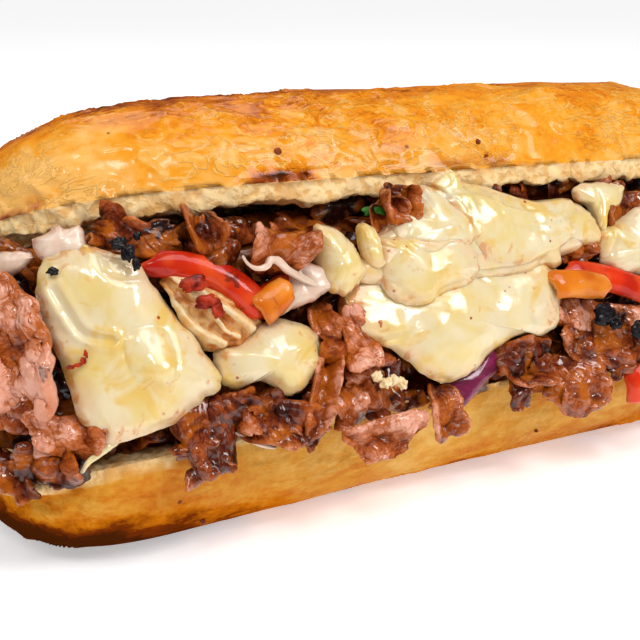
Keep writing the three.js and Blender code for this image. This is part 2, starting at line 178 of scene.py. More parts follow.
def steady(seed, count):
    """A repeatable number between 0 and 1: the fraction left by a large multiple of a sine."""
    value = math.sin(seed * 12.9898 + count * 78.233) * 43758.5453
    return value - math.floor(value)


def ripple(seed, u, v):
    """Four sine waves of rising rate, each along its own heading across u and v, added up."""
    total = 0.0
    for i in range(4):
        turn = 2 * math.pi * steady(seed, 3 * i)
        start = 2 * math.pi * steady(seed, 3 * i + 1)
        along = u * math.cos(turn) + v * math.sin(turn)
        total = total + np.sin((1.2 + 1.1 * i) * along + start) / (1 + 0.6 * i)
    return total / 2


def scattered(ix, iy, iz, seed):
    """A whole-number mixing of three indexes and a seed, scaled to -1 to 1."""
    n = (ix * 374761393 + iy * 668265263 + iz * 1440662683 + seed * 1013904223) & 0xFFFFFFFF
    n = ((n ^ (n >> 13)) * 1274126177) & 0xFFFFFFFF
    n = n ^ (n >> 16)
    return (n & 0xFFFFFF) / float(0x7FFFFF) - 1.0


def lattice(x, y, z, seed):
    """Random heights on whole-number points, joined by the smooth step 3t^2 - 2t^3."""
    x, y, z = np.broadcast_arrays(x, y, z)
    corner = [np.floor(v).astype(np.int64) for v in (x, y, z)]
    step = []
    for v, c in zip((x, y, z), corner):
        t = v - c
        step.append(t * t * (3 - 2 * t))
    total = np.zeros(x.shape)
    for i in (0, 1):
        for j in (0, 1):
            for k in (0, 1):
                share = (step[0] if i else 1 - step[0]) * (step[1] if j else 1 - step[1])
                share = share * (step[2] if k else 1 - step[2])
                total += share * scattered(corner[0] + i, corner[1] + j, corner[2] + k, seed)
    return total


def rough(x, y, z, seed, octaves):
    """Lattice noise added at doubling rates and halving heights."""
    total = 0.0
    for i in range(octaves):
        rate = 2**i
        layer = lattice(x * rate, np.asarray(y) * rate, np.asarray(z) * rate, seed + 17 * i)
        total = total + layer / rate
    return total


def creased(x, y, seed):
    """Thin raised lines where lattice noise passes through zero: one minus its steep size."""
    return np.clip(1 - 3.2 * np.abs(lattice(x, y, 0.0, seed)), 0, 1)


def ease(value, low, high):
    """0 below low, 1 above high, a smooth step between."""
    t = np.clip((value - low) / (high - low), 0, 1)
    return t * t * (3 - 2 * t)


def unit(vectors):
    """Vectors scaled to length one."""
    return vectors / np.maximum(np.linalg.norm(vectors, axis=-1, keepdims=True), 1e-9)


# Meshes.


LOWEST = np.array(cad_box[0])
HIGHEST = np.array(cad_box[1])


def make_piece(name, points, quads, tris, finish, node, slot, attributes=None):
    """A mesh from points in mm and faces turned to point outwards, kept inside the CAD box.

    The faces point outwards when the volumes that they span with the middle add up to more than 0.
    """
    quads = np.asarray(quads, np.int64).reshape(-1, 4)
    tris = np.asarray(tris, np.int64).reshape(-1, 3)
    halves = np.concatenate([quads[:, [0, 1, 2]], quads[:, [0, 2, 3]], tris])
    middle = points.mean(0)
    a, b, c = (points[halves[:, i]] - middle for i in range(3))
    if (a * np.cross(b, c)).sum() < 0:
        quads, tris = quads[:, ::-1], tris[:, ::-1]
    places = np.clip((points + SHIFT) * MM, LOWEST, HIGHEST)
    mesh = bpy.data.meshes.new(name)
    mesh.from_pydata(places.tolist(), [], quads.tolist() + tris.tolist())
    mesh.polygons.foreach_set("use_smooth", np.ones(len(mesh.polygons), bool))
    for key, values in (attributes or {}).items():
        values = np.asarray(values, np.float32)
        if values.ndim == 2:
            store = mesh.attributes.new(key, "FLOAT_VECTOR", "POINT")
            store.data.foreach_set("vector", values.ravel())
        else:
            store = mesh.attributes.new(key, "FLOAT", "POINT")
            store.data.foreach_set("value", values.ravel())
    mesh.materials.append(finish)
    mesh.update()
    piece = bpy.data.objects.new(name, mesh)
    bpy.context.scene.collection.objects.link(piece)
    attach(piece, "root")
    if node:
        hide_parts(node)


def ring_faces(stations, sides):
    """Quads between neighbouring rings of a closed section."""
    i, j = np.meshgrid(np.arange(stations - 1), np.arange(sides), indexing="ij")
    a = i * sides + j
    b = i * sides + (j + 1) % sides
    return np.stack([a, b, b + sides, a + sides], -1).reshape(-1, 4)


def closed_loft(rings, first, last):
    """Points and faces of a skin over rings (stations, sides, 3), closed by a point at either end."""
    stations, sides = rings.shape[:2]
    points = np.concatenate([rings.reshape(-1, 3), [first], [last]])
    j = np.arange(sides)
    k = (j + 1) % sides
    end = (stations - 1) * sides
    count = stations * sides
    first_fan = np.stack([k, j, np.full(sides, count)], -1)
    last_fan = np.stack([end + j, end + k, np.full(sides, count + 1)], -1)
    return points, ring_faces(stations, sides), np.concatenate([first_fan, last_fan])


def two_faced(front, back):
    """Points and quads of a sheet from its front and back grids, joined along their border."""
    rows, columns = front.shape[:2]
    points = np.concatenate([front.reshape(-1, 3), back.reshape(-1, 3)])
    below = rows * columns
    i, j = np.meshgrid(np.arange(rows - 1), np.arange(columns - 1), indexing="ij")
    a = (i * columns + j).ravel()
    face = np.stack([a, a + 1, a + columns + 1, a + columns], -1)
    grid = np.arange(rows * columns).reshape(rows, columns)
    border = np.concatenate([grid[0, :-1], grid[:-1, -1], grid[-1, :0:-1], grid[:0:-1, 0]])
    after = np.roll(border, -1)
    wall = np.stack([border, border + below, after + below, after], -1)
    return points, np.concatenate([face, face[:, ::-1] + below, wall])


def grid_normals(surface, wrap=False):
    """Unit normals of a grid of points from its differences along both directions."""
    down = np.gradient(surface, axis=0)
    if wrap:
        across = np.roll(surface, -1, 1) - np.roll(surface, 1, 1)
    else:
        across = np.gradient(surface, axis=1)
    return unit(np.cross(across, down))


def smooth_path(points, samples, closed=False):
    """A curve through the points: a Catmull-Rom cubic between each pair of neighbours."""
    points = np.asarray(points, float)
    count = len(points)
    spans = count if closed else count - 1
    t = np.linspace(0, spans, samples, endpoint=not closed)
    i = np.minimum(t.astype(int), spans - 1)
    f = (t - i)[:, None]
    order = [i + n for n in (-1, 0, 1, 2)]
    p0, p1, p2, p3 = [points[n % count if closed else np.clip(n, 0, count - 1)] for n in order]
    bend = 2 * p0 - 5 * p1 + 4 * p2 - p3
    twist = 3 * p1 - p0 - 3 * p2 + p3
    return 0.5 * (2 * p1 + (p2 - p0) * f + bend * f**2 + twist * f**3)


def swept_tube(path, radii, seed):
    """A round section carried along a path, its radius varied by noise, closed at both ends."""
    way = unit(np.gradient(path, axis=0))
    side = unit(np.cross(way, OUT))
    top = np.cross(side, way)
    turn = np.linspace(0, 2 * np.pi, THREAD_POINTS, endpoint=False)
    run = np.arange(len(path))[:, None] / 4
    radii = radii[:, None] * (1 + THREAD_LUMPS * lattice(run, np.cos(turn) * 1.5, np.sin(turn), seed))
    rings = path[:, None] + (radii * np.cos(turn))[..., None] * side[:, None]
    rings = rings + (radii * np.sin(turn))[..., None] * top[:, None]
    first = path[0] - way[0] * radii[0, 0] * THREAD_TIP
    last = path[-1] + way[-1] * radii[-1, 0] * THREAD_TIP
    return closed_loft(rings, first, last)


# The filling's front.


def place(x, up, out):
    """Lower lip plus up along the slope plus out across it, drawn back near the roll's ends."""
    x, up, out = np.broadcast_arrays(np.asarray(x, float), up, out)
    setback = END_SETBACK * np.minimum(1, np.abs(x) / HALF_LENGTH) ** 8
    base = np.stack([x, setback - HALF_WIDTH, np.full(x.shape, LIP_HEIGHT)], -1)
    return base + up[..., None] * UP + out[..., None] * OUT


def sheet(corners, thick, seed, cells, dome=0.0, curl=(0.0, 0.0), sag=0.0, waves=0.0, rounded=0.4,
          ragged=0.07, fray=0.0, pucker=0.0, fibre=0.0, veins=0.0, lumps=0.0, rim=0.25,
          bend=(0.0, 0.0)):
    """A thin wavy piece between four corners.

    A square grid is drawn in at its corners, its edge pushed in and out by sines and noise, blended
    between the corners, and lifted along the normal by dome, curl and waves. A bend of b turns the
    run u into sin(bu)/b and a lift of (1 - cos(bu))/b. Half the thickness is added on either side,
    less towards the edge, with fibres, veins and lumps as relief.
    """
    low, low_right, high, high_left = [c if isinstance(c, np.ndarray) else place(*c) for c in corners]
    across = (low_right - low + high - high_left) / 4
    along = (high_left - low + high - low_right) / 4
    wide, tall = np.linalg.norm(across), np.linalg.norm(along)
    facing = unit(np.cross(across, along))
    p, q = np.meshgrid(np.linspace(-1, 1, cells[0] + 1), np.linspace(-1, 1, cells[1] + 1))
    turn = np.arctan2(q, p)
    edge = np.maximum(np.abs(p), np.abs(q))
    wobble = np.sin(3 * turn + 6 * steady(seed, 20)) + np.sin(5 * turn + 6 * steady(seed, 21))
    torn = rough(4 * np.cos(turn), 4 * np.sin(turn), 0.0, seed, 3)
    reach = 1 + edge * (ragged * wobble + fray * torn)
    u = p * np.sqrt(1 - rounded * q * q / 2) * reach
    v = q * np.sqrt(1 - rounded * p * p / 2) * reach
    lift = dome * (1 - p * p) * (1 - q * q) + curl[0] * u * u + curl[1] * v * v
    lift = lift + waves * ripple(seed, u * wide / 4, v * tall / 4)
    lift = lift + pucker * rough(u * wide / 3.4, v * tall / 3.4, 0.5, seed + 3, 2)
    lift = lift + 2.2 * pucker * np.abs(lattice(u * wide / 6, v * tall / 6, 0.5, seed + 2))
    grain_u, grain_v = u * wide, v * tall
    if bend[0]:
        lift = lift + wide * (1 - np.cos(bend[0] * u)) / bend[0]
        u = np.sin(bend[0] * u) / bend[0]
    if bend[1]:
        lift = lift + tall * (1 - np.cos(bend[1] * v)) / bend[1]
        v = np.sin(bend[1] * v) / bend[1]
    middle = (
        (0.25 * (1 - u) * (1 - v))[..., None] * low
        + (0.25 * (1 + u) * (1 - v))[..., None] * low_right
        + (0.25 * (1 + u) * (1 + v))[..., None] * high
        + (0.25 * (1 - u) * (1 + v))[..., None] * high_left
        + lift[..., None] * facing
        + (sag * (1 - u * u))[..., None] * unit(along)
    )
    normal = grid_normals(middle)
    if (normal * facing).sum() < 0:
        normal = -normal
    slant = 2 * math.pi * steady(seed, 30)
    grain = grain_u * math.cos(slant) + grain_v * math.sin(slant)
    cross_grain = grain_v * math.cos(slant) - grain_u * math.sin(slant)
    warp = rough(grain / 5, cross_grain / 5, 0.0, seed + 4, 2)
    relief = fibre * rough(grain / 6, (cross_grain + warp) / 0.9, 0.0, seed + 5, 2)
    relief = relief - veins * creased((grain + warp) / 4.5, (cross_grain + warp) / 2.1, seed + 7)
    relief = relief + lumps * rough(grain / 4, cross_grain / 2.4, 0.0, seed + 6, 3)
    half = 0.5 * thick * np.sqrt(np.clip(1 - (1 - rim * rim) * edge**5, 0, 1))
    front = middle + (half + relief * np.clip(half / thick * 3, 0, 1))[..., None] * normal
    back = middle - (half + 0.5 * relief)[..., None] * normal
    points, quads = two_faced(front, back)
    flat_grain = np.stack([grain.ravel(), cross_grain.ravel(), np.zeros(p.size)], -1)
    hold = {
        "rise": np.tile((lift - lift.mean()).ravel(), 2),
        "rim": np.tile(edge.ravel(), 2),
        "grain": np.tile(flat_grain, (2, 1)),
    }
    return points, quads, hold


def melted_patch(outline, depth, lean, thick, lift, bumps, seed, waver=0.036, swells=(), folds=(),
                 taper=9, rings=46, sides=150, over=None):
    """A melted slice: rings drawn in from a smooth outline of (along, up) places to its middle.

    Its distance out is a leaning plane plus a dome, noise, bell-shaped swells and creases, less a
    droop near the edge. Over a slice already laid, it rides on that slice's front: the greater of
    the two, blended by a soft maximum. A laid front falls away past its border. The thickness
    swells into a bead inside the edge and closes round it, the earlier the smaller the power taper.
    """
    border = smooth_path(np.asarray(outline, float), sides, closed=True)
    turn = np.linspace(0, 2 * np.pi, sides, endpoint=False)
    centre = border.mean(0)
    unevenness = rough(3 * np.cos(turn), 3 * np.sin(turn), 0.0, seed, 3)
    unevenness = unevenness + 0.45 * rough(9 * np.cos(turn), 9 * np.sin(turn), 0.0, seed + 1, 2)
    border = centre + (border - centre) * (1 + waver * unevenness)[:, None]
    spoke = border - centre
    bearing = np.unwrap(np.arctan2(spoke[:, 1], spoke[:, 0]))
    order = np.argsort(bearing)

    def front_at(x, up, r):
        sink = DROOP * (1 + 0.9 * rough(x / 9, up / 9, 0.0, seed + 21, 2))
        out = depth + lean * (up - centre[1]) + lift * (1 - r**2) - sink * r**6
        out = out + bumps * rough(x / 13, up / 13, 0.0, seed, 2)
        out = out + 0.42 * bumps * rough(x / 6.5, up / 6.5, 0.0, seed + 9, 2)
        out = out - 0.5 * bumps * creased(x / 10, up / 10, seed + 12) ** 2
        for swell_x, swell_up, radius, height in swells:
            out = out + height * np.exp(-((x - swell_x) ** 2 + (up - swell_up) ** 2) / radius**2)
        return out + fold_lines(x, up, folds)

    def laid_front(x, up):
        dx, dup = x - centre[0], up - centre[1]
        angle = np.mod(np.arctan2(dup, dx) - bearing[order[0]], 2 * np.pi) + bearing[order[0]]
        length = np.linalg.norm(spoke, axis=1)
        reach = np.interp(angle, bearing[order], length[order], period=2 * np.pi)
        r = np.hypot(dx, dup) / reach
        return front_at(x, up, np.minimum(r, 1)) + 0.35 * thick - 14 * ease(r, 0.72, 1.06)

    w = np.linspace(0, 1, rings + 1)
    r = (1 - (1 - w) ** 1.6)[:, None]
    plan = centre + r[..., None] * spoke[None]
    x, up = plan[..., 0], plan[..., 1]
    out = front_at(x, up, r)
    if over is not None:
        for laid in over:
            out = MELT * np.logaddexp(out / MELT, laid(x, up) / MELT)
        over.append(laid_front)
    bead = np.exp(-(((r - 0.9) / 0.07) ** 2))
    half = 0.5 * thick * np.sqrt(np.clip(1 - r**taper, 0, 1)) * (0.85 + 0.3 * bead)
    front = place(x, up, out + half)
    back = place(x, up, out - half)
    skin = np.concatenate([front[1:], back[::-1][1:-1]])
    points, quads, tris = closed_loft(skin, front[0, 0], back[0, 0])
    hold = {"rim": np.broadcast_to(r, x.shape), "rise": fold_lines(x, up, folds)}
    for key, values in hold.items():
        around = np.concatenate([values[1:], values[::-1][1:-1]]).ravel()
        hold[key] = np.append(around, (values[0, 0], values[0, 0]))
    return points, quads, tris, hold


# The roll.


def fullness(x, half, boxiness):
    """The square root of one minus the distance along, as a share of half, to the power boxiness."""
    return np.sqrt(np.clip(1 - np.abs(x / half) ** boxiness, 0, None))


def stations(half, steps):
    """Distances along the roll, closer together towards both tips."""
    w = np.linspace(-1, 1, 2 * steps + 1)[1:-1]
    return half * np.sign(w) * (1 - (1 - np.abs(w)) ** 1.5)


def wrinkles(along, around, seed, lively=0.0):
    """Baked skin: broad dents, long wavering ridges in patches, shorter fine ones and pores."""
    warp = 3.6 * rough(along / 12, around / 9, 0.0, seed, 3)
    patches = ease(rough(along / 24, around / 13, 0.0, seed + 1, 2) + lively, -0.4, 0.5)
    long_ridges = creased((along + warp) / 15, (around + warp) / 5.2, seed + 2)
    short_ridges = creased((along - warp) / 7.0, (around + warp) / 3.0, seed + 3)
    dents = rough(along / 17, around / 10, 0.0, seed + 4, 2)
    pores = rough(along / 1.4, around / 1.4, 0.0, seed + 5, 2)
    ridges = patches * (0.65 * long_ridges**1.6 + 0.45 * short_ridges**1.5)
    return ridges + 0.45 * dents + 0.02 * pores - 0.4


def fold_lines(along, around, folds):
    """Creases that follow given paths: a dip with a raised flank, by distance to the path."""
    total = np.zeros(np.shape(along))
    for path, depth, width in folds:
        line = smooth_path(path, 60)
        gap = np.full(along.shape, 1e9)
        for px, pa in line:
            gap = np.minimum(gap, (along - px) ** 2 + (around - pa) ** 2)
        gap = np.sqrt(gap) / width
        total += depth * (0.8 * np.exp(-((gap - 1.6) ** 2)) - np.exp(-(gap**2)))
    return total


def crumb_relief(along, across, seed):
    """Torn crumb: rounded hollows of two sizes between thin walls."""
    big = np.abs(rough(along / 4.2, across / 4.2, 0.0, seed, 2))
    small = np.abs(lattice(along / 1.7, across / 1.7, 0.0, seed + 3))
    return 1.0 * big + 0.45 * small - 0.55


def outward_normals(rings):
    """Normals of closed sections, turned away from each section's middle."""
    normal = grid_normals(rings, wrap=True)
    inward = (normal * (rings - rings.mean(1, keepdims=True))).sum() < 0
    return -normal if inward else normal


def arc_along(rings):
    """The distance run round each section from its first point."""
    step = np.linalg.norm(np.diff(rings, axis=1), axis=-1)
    return np.concatenate([np.zeros((len(rings), 1)), np.cumsum(step, 1)], 1)


def marks(crumb, bake, lip, rise, tip_bake):
    """What each point of a crust stores, with the values of its two tips last."""
    # rise, the stored relief, is painted into the crust colour as highlight on ridges and shade in dents.
    return {"crumb": np.append(crumb, (0, 0)), "bake": np.append(bake, tip_bake),
            "lip": np.append(lip, (0, 0)), "rise": np.append(rise, (0, 0))}


def base_skin(x, phi):
    """The plain lower crust at a distance along and an angle round: a squashed half ellipse.

    It hangs from a lip that sinks to 0.4 of its height at the tips, and is cut off flat at z = 0.
    """
    t = fullness(x, HALF_LENGTH, BASE_BOXINESS)
    c, s = np.cos(phi), np.abs(np.sin(phi))
    y = BASE_BOW * (x / 100) ** 2 - HALF_WIDTH * t * np.sign(c) * np.abs(c) ** 0.8
    z = np.maximum(0, LIP_HEIGHT * (0.4 + 0.6 * t) * (1 - 1.12 * s**0.75 * (0.35 + 0.65 * t)))
    return np.stack([np.broadcast_to(x, y.shape), y, z], -1)


def roll_bottom(finish):
    """The bottom half: crust from the front lip under to the back lip, then the dished cut face.

    The cut face runs from the back lip to the front lip, beside which its crumb dips and swells.
    The left end is baked darker, and its crust is worn back from the lip.
    """
    x = stations(HALF_LENGTH, BASE_STEPS)[:, None]
    phi = np.linspace(0, np.pi, BASE_CRUST_POINTS)[None]
    crust = base_skin(x, phi)
    t = fullness(x, HALF_LENGTH, BASE_BOXINESS)
    lip = LIP_HEIGHT * (0.4 + 0.6 * t)
    bow = BASE_BOW * (x / 100) ** 2
    w = np.linspace(0, 1, BASE_FACE_POINTS)[1:-1][None]
    k = 1 - 2 * (1 - w) ** 1.6
    along = np.broadcast_to(x, (x.shape[0], k.shape[1]))
    dish = BASE_DISH * t * (1 - k * k)
    tear = np.exp(-(((1 - k) / 0.1) ** 2)) - 0.9 * np.exp(-(((1 - k) / 0.03) ** 2))
    dish = dish + 0.9 * t * tear * rough(along / 8, 0.5, 0.0, 8, 3)
    face = np.stack([along, bow - HALF_WIDTH * t * k, lip - dish], -1)
    sides = crust.shape[1]
    rings = np.concatenate([crust, face], 1)
    normal = outward_normals(rings)
    around = arc_along(rings)
    along = np.broadcast_to(x, around.shape)
    skin_end = around[:, sides - 1 : sides]
    skin = ease(around, 0.0, 1.6) * ease(skin_end - around, 0.0, 1.6) * ease(rings[..., 2], 0.0, 7.0)
    skin = skin * ease(HALF_LENGTH - np.abs(x), 0.0, 7.0)
    lip_folds = creased(along / 3.1 + 0.4 * lattice(along / 8, around / 5, 0.0, 51), around / 14, 52)
    near_lip = np.exp(-(((around - 9) / 7) ** 2)) * ease(rings[..., 2], 8.0, 14.0)
    bared = 1.1 * rough(along / 9, 0.3, 0.0, 34, 3) + 2.8 * ease(-along, 40, 95)
    crumb = 1 - ease(around - t * np.clip(bared, 0, 4.5), 0.0, 0.7)
    crumb[:, sides:] = 1
    torn = crumb * np.where(around > skin_end, ease(edge_ends(around, skin_end), 0.0, 0.8), 1.0)
    relief = (wrinkles(along, around, 40) + 0.16 * lip_folds * near_lip) * skin * (1 - crumb)
    relief = relief + torn * crumb_relief(along, rings[..., 1], 31)
    rings = rings + relief[..., None] * normal
    rings[..., 2] = np.maximum(rings[..., 2], 0)
    tips = [(side * HALF_LENGTH, BASE_BOW * 1.04, 0.34 * LIP_HEIGHT) for side in (-1, 1)]
    points, quads, tris = closed_loft(rings, *np.array(tips))
    low = 1 - ease(rings[..., 2] + 3 * rough(along / 14, around / 14, 0.0, 33, 2), 1.0, 19.0)
    left = ease(-rings[..., 0], 30.0, 102.0)
    bake = np.clip(0.14 + 0.34 * low + left * (0.3 + 1.0 * low), 0, 1) * (1 - crumb)
    lip = np.exp(-((around / 2.0) ** 2)) * (1 - crumb) * 0.5
    hold = marks(crumb, bake, lip, relief * (1 - crumb), (0.7, 0.5))
    make_piece("roll_bottom", points, quads, tris, finish, "roll", "crust", hold)


def top_point(x, away, up):
    """Turned about the hinge line by the tilt, which changes slowly along the roll."""
    tilt = np.radians(TILT_DEG + TWIST_DEG * x / 100)
    y = HINGE_Y - away * np.cos(tilt) + up * np.sin(tilt)
    z = HINGE_Z + away * np.sin(tilt) + up * np.cos(tilt)
    return np.stack([np.broadcast_to(x + TOP_SHIFT_X, y.shape), y, z], -1)


def top_skin(x, phi):
    """The plain upper crust at a distance along and an angle round: a boxy half ellipse, tilted."""
    t = fullness(x, HALF_LENGTH, TOP_BOXINESS)
    away = TOP_HALF_WIDTH * (1 + t * np.cos(phi))
    return top_point(x, away, TOP_THICKNESS * t**0.8 * np.abs(np.sin(phi)) ** 0.75)


def roll_top(finish):
    """The top half: crust from the front lip over to the back lip, then the cut face.

    The torn crumb hangs below the front lip as a ragged strip before it rises to the cut face. The
    left end is baked deeper on its crown, and made paler below it as a painted highlight.
    """
    x = stations(HALF_LENGTH, TOP_STEPS)[:, None]
    phi = np.linspace(0, np.pi, TOP_CRUST_POINTS)[None]
    crust = top_skin(x, phi)
    t = fullness(x, HALF_LENGTH, TOP_BOXINESS)
    w = np.linspace(0, 1, TOP_FACE_POINTS)[1:-1][None]
    edge = 2 * (1 - w) ** 1.7
    along = np.broadcast_to(x, (x.shape[0], edge.shape[1]))
    hang = ease(edge, 0.0, 0.045) * (1 - ease(edge, 0.12, 0.55))
    ragged = 1 + 0.26 * rough(along / 7, 0.5, 0.0, 7, 4)
    rise = TOP_DISH * t * (1 - (1 - edge) ** 2) - CRUMB_LIP * np.sqrt(t) * hang * ragged
    face = top_point(x, TOP_HALF_WIDTH * (1 + t * (1 - edge)), rise)
    sides = crust.shape[1]
    rings = np.concatenate([crust, face], 1)
    normal = outward_normals(rings)
    around = arc_along(rings)
    along = np.broadcast_to(x, around.shape)
    skin_end = around[:, sides - 1 : sides]
    crumb = np.zeros(around.shape)
    crumb[:, sides:] = 1
    skin = ease(around, 0.0, 1.2) * ease(skin_end - around, 0.0, 1.2) * (1 - crumb)
    lively = -0.3 * ease(along, 0, 90) + 0.9 * ease(-along, 20, 80)
    relief = (wrinkles(along, around, 70, lively) + fold_lines(along, around, TOP_FOLDS)) * skin
    across = rings[..., 1] - rings[..., 2]
    relief = relief + crumb * crumb_relief(along, across, 61) * ease(edge_ends(around, skin_end), 0.0, 0.8)
    rings = rings + relief[..., None] * normal
    tips = [top_point(np.array(side * HALF_LENGTH), TOP_HALF_WIDTH, 0.5) for side in (-1, 1)]
    points, quads, tris = closed_loft(rings, *tips)
    crown = np.exp(-(((phi - 1.35) / 0.75) ** 2))
    # Painted highlight: the left end, below the crown, is made paler as if lit from the left and above.
    paler = 0.34 * ease(-x, 35, 98) * (1 - 0.85 * crown)
    deeper = 0.32 * ease(-x, 0, 60) * crown
    bake = np.concatenate([0.17 + 0.35 * crown + deeper - paler, np.zeros(face.shape[:2])], 1)
    scorched = ease(along, -48, -44) * (1 - ease(along, -34, -29)) * np.exp(-(((around - 0.8) / 1.5) ** 2))
    bake = bake + 0.75 * scorched * (1 + 0.5 * rough(along / 3, around / 2, 0.0, 71, 2)) * (1 - crumb)
    lip = np.exp(-((around / 2.4) ** 2)) * (1 - crumb)
    hold = marks(crumb, bake, lip, relief * (1 - crumb), (0.4, 0.4))
    make_piece("roll_top", points, quads, tris, finish, "roll", "crust", hold)


def edge_ends(around, skin_end):
    """How far a point of the cut face is from the nearer end of its own run."""
    return np.minimum(around - skin_end, around[:, -1:] + 0.5 - around)


def roll_hinge(finish):
    """The web at the back: a squared oval section, leaning forwards as it rises."""
    x = stations(WEB_HALF_LENGTH, WEB_STEPS)[:, None]
    phi = np.linspace(0, 2 * np.pi, WEB_POINTS, endpoint=False)[None]
    t = np.sqrt(fullness(x, WEB_HALF_LENGTH, 6))
    c, s = np.cos(phi), np.sin(phi)
    z = WEB_RADIUS_Z * t * np.sign(s) * np.abs(s) ** WEB_SQUARENESS
    y = WEB_RADIUS_Y * t * np.sign(c) * np.abs(c) ** WEB_SQUARENESS - WEB_LEAN * z
    bow = BASE_BOW * (x / 100) ** 2
    rings = np.stack([np.broadcast_to(x, y.shape), WEB_Y + y + bow, WEB_Z + z], -1)
    normal = outward_normals(rings)
    crust = ease(np.broadcast_to(c, y.shape), 0.1, 0.3)
    along = np.broadcast_to(x, y.shape)
    relief = crust * wrinkles(along, z, 90) + (1 - crust) * crumb_relief(along, z, 91)
    rings = rings + relief[..., None] * normal
    ends = np.array([(side * WEB_HALF_LENGTH, WEB_Y + BASE_BOW * 0.8, WEB_Z) for side in (-1, 1)])
    points, quads, tris = closed_loft(rings, *ends)
    hold = {"crumb": np.append((1 - crust).ravel(), (1, 1)), "bake": np.append(0.25 * crust.ravel(), (0, 0)),
            "lip": np.zeros(crust.size + 2), "rise": np.append(crust * relief, (0, 0))}
    make_piece("roll_hinge", points, quads, tris, finish, "roll", "crust", hold)


# Pieces of the filling, in (along, up) or (along, up, out) places on its sloping front.

# Melted cheese, laid in this order: a later slice lies over the earlier ones.
CHEESE = {
    "cheese_slice_left": dict(
        outline=((-85.5, 40.3), (-81, 41.6), (-76.3, 42), (-71.8, 39.9), (-68.9, 37.7), (-66.1, 32.3),
                 (-62.6, 26.3), (-58.8, 20.4), (-56.1, 13.9), (-57, 10.5), (-62, 7.8), (-71.3, 5),
                 (-80.2, 2.4), (-83, 5), (-84.8, 13.8), (-85.7, 20), (-87.2, 25.6), (-88.4, 29.9),
                 (-87.7, 35.4)),
        depth=6.8, lean=-0.1, thick=1.7, lift=1.4, bumps=0.9,
        swells=((-68.5, 16.5, 4.2, 1.9), (-73, 36, 6, 0.8), (-83, 25, 4, -1.1), (-62.5, 13, 3, 1.0)),
        folds=((((-85.4, 34.0), (-83.3, 29.1), (-81.0, 25.0), (-76.4, 23.6)), 0.6, 0.9),)),
    "cheese_fold_left": dict(
        outline=((-55.6, 18.4), (-51.7, 19.2), (-48.1, 21.3), (-45.1, 22.6), (-40.3, 22.7), (-35.6, 20.7),
                 (-32.5, 17.5), (-32.3, 13.9), (-35, 10.2), (-38.6, 7.7), (-42.7, 6.8), (-46.2, 10.1),
                 (-49.7, 10.9), (-53.5, 10), (-55.8, 12.8)),
        depth=5.6, lean=-0.15, thick=2.4, taper=4, lift=3.6, bumps=0.9),
    "cheese_slice_lower": dict(
        outline=((-25.8, 23.4), (-23.5, 27.5), (-18.4, 31.0), (-7.6, 29.0), (5.5, 30.5), (16.1, 29.2),
                 (24.6, 27.6), (28.6, 24.4), (29.0, 19.6), (26.6, 15.4), (24.6, 11.3), (20.4, 9.6),
                 (16.5, 10.6), (12.3, 9.4), (8, 7.9), (3.9, 5.4), (-0.5, 3.9), (-4.5, 3.1), (-8.7, 3.8),
                 (-13.2, 7), (-16.8, 12), (-20.1, 14.1), (-23, 15.6), (-25.3, 19.1)),
        depth=6.2, lean=-0.17, thick=1.7, lift=2.6, bumps=1.2),
    "cheese_slice_upper": dict(
        outline=((0.4, 47.2), (6.1, 47.4), (11.9, 45.9), (20.9, 42.7), (27.6, 40.7), (36.1, 40),
                 (40.8, 37.6), (43.1, 33.3), (42.7, 29.1), (37.2, 27.8), (31.3, 27.6), (30, 24.5),
                 (23.7, 24.8), (17.1, 26.1), (10, 27.3), (6.6, 32.2), (4.2, 37), (2.1, 41.8)),
        depth=3.6, lean=-0.2, thick=1.7, lift=2.0, bumps=1.2),
    "cheese_slice_right": dict(
        outline=((43.5, 30.6), (50, 33), (58, 35.5), (66, 35), (71.5, 31), (70, 22), (67, 15.5), (58, 16),
                 (52.6, 18.4), (46.7, 20.6), (43, 24.7)),
        depth=4.5, lean=-0.15, thick=1.7, lift=2.2, bumps=1.2),
    "cheese_fold_right": dict(
        outline=((74, 23), (79, 26), (86, 25), (89, 18), (88, 11), (82, 8.5), (75, 10), (72.5, 16)),
        depth=5.6, lean=-0.15, thick=2.4, taper=4, lift=2.6, bumps=0.9),
    "cheese_drop_centre": dict(
        outline=((-29.7, 41.5), (-25.7, 40.2), (-22.7, 36.9), (-21.2, 33.6), (-20.8, 29.2), (-23.6, 26.8),
                 (-27.5, 25.6), (-30.1, 27.3), (-31.2, 31.6), (-31, 37)),
        depth=5.0, lean=-0.1, thick=2.4, taper=4, lift=2.6, bumps=0.8),
    "cheese_fold_upper": dict(
        outline=((-12.5, 41.1), (-8.2, 41.2), (-4.3, 45.6), (-0.3, 46.8), (2.7, 41.6), (6.4, 36.7),
                 (4.7, 32.5), (-1.3, 32.1), (-7.9, 30.3), (-12.9, 33.5)),
        depth=4.8, lean=-0.2, thick=2.4, taper=4, lift=2.6, bumps=1.0),
    "cheese_fold_lower": dict(
        outline=((-17.4, 35), (-13.5, 36.6), (-6.6, 34.6), (3, 33.6), (6.3, 28.3), (4.1, 24.1), (-3.3, 23),
                 (-8.6, 20.9), (-15.7, 22.6), (-17.8, 27.6)),
        depth=7.4, lean=-0.12, thick=2.4, taper=4, lift=2.2, bumps=1.0),
}

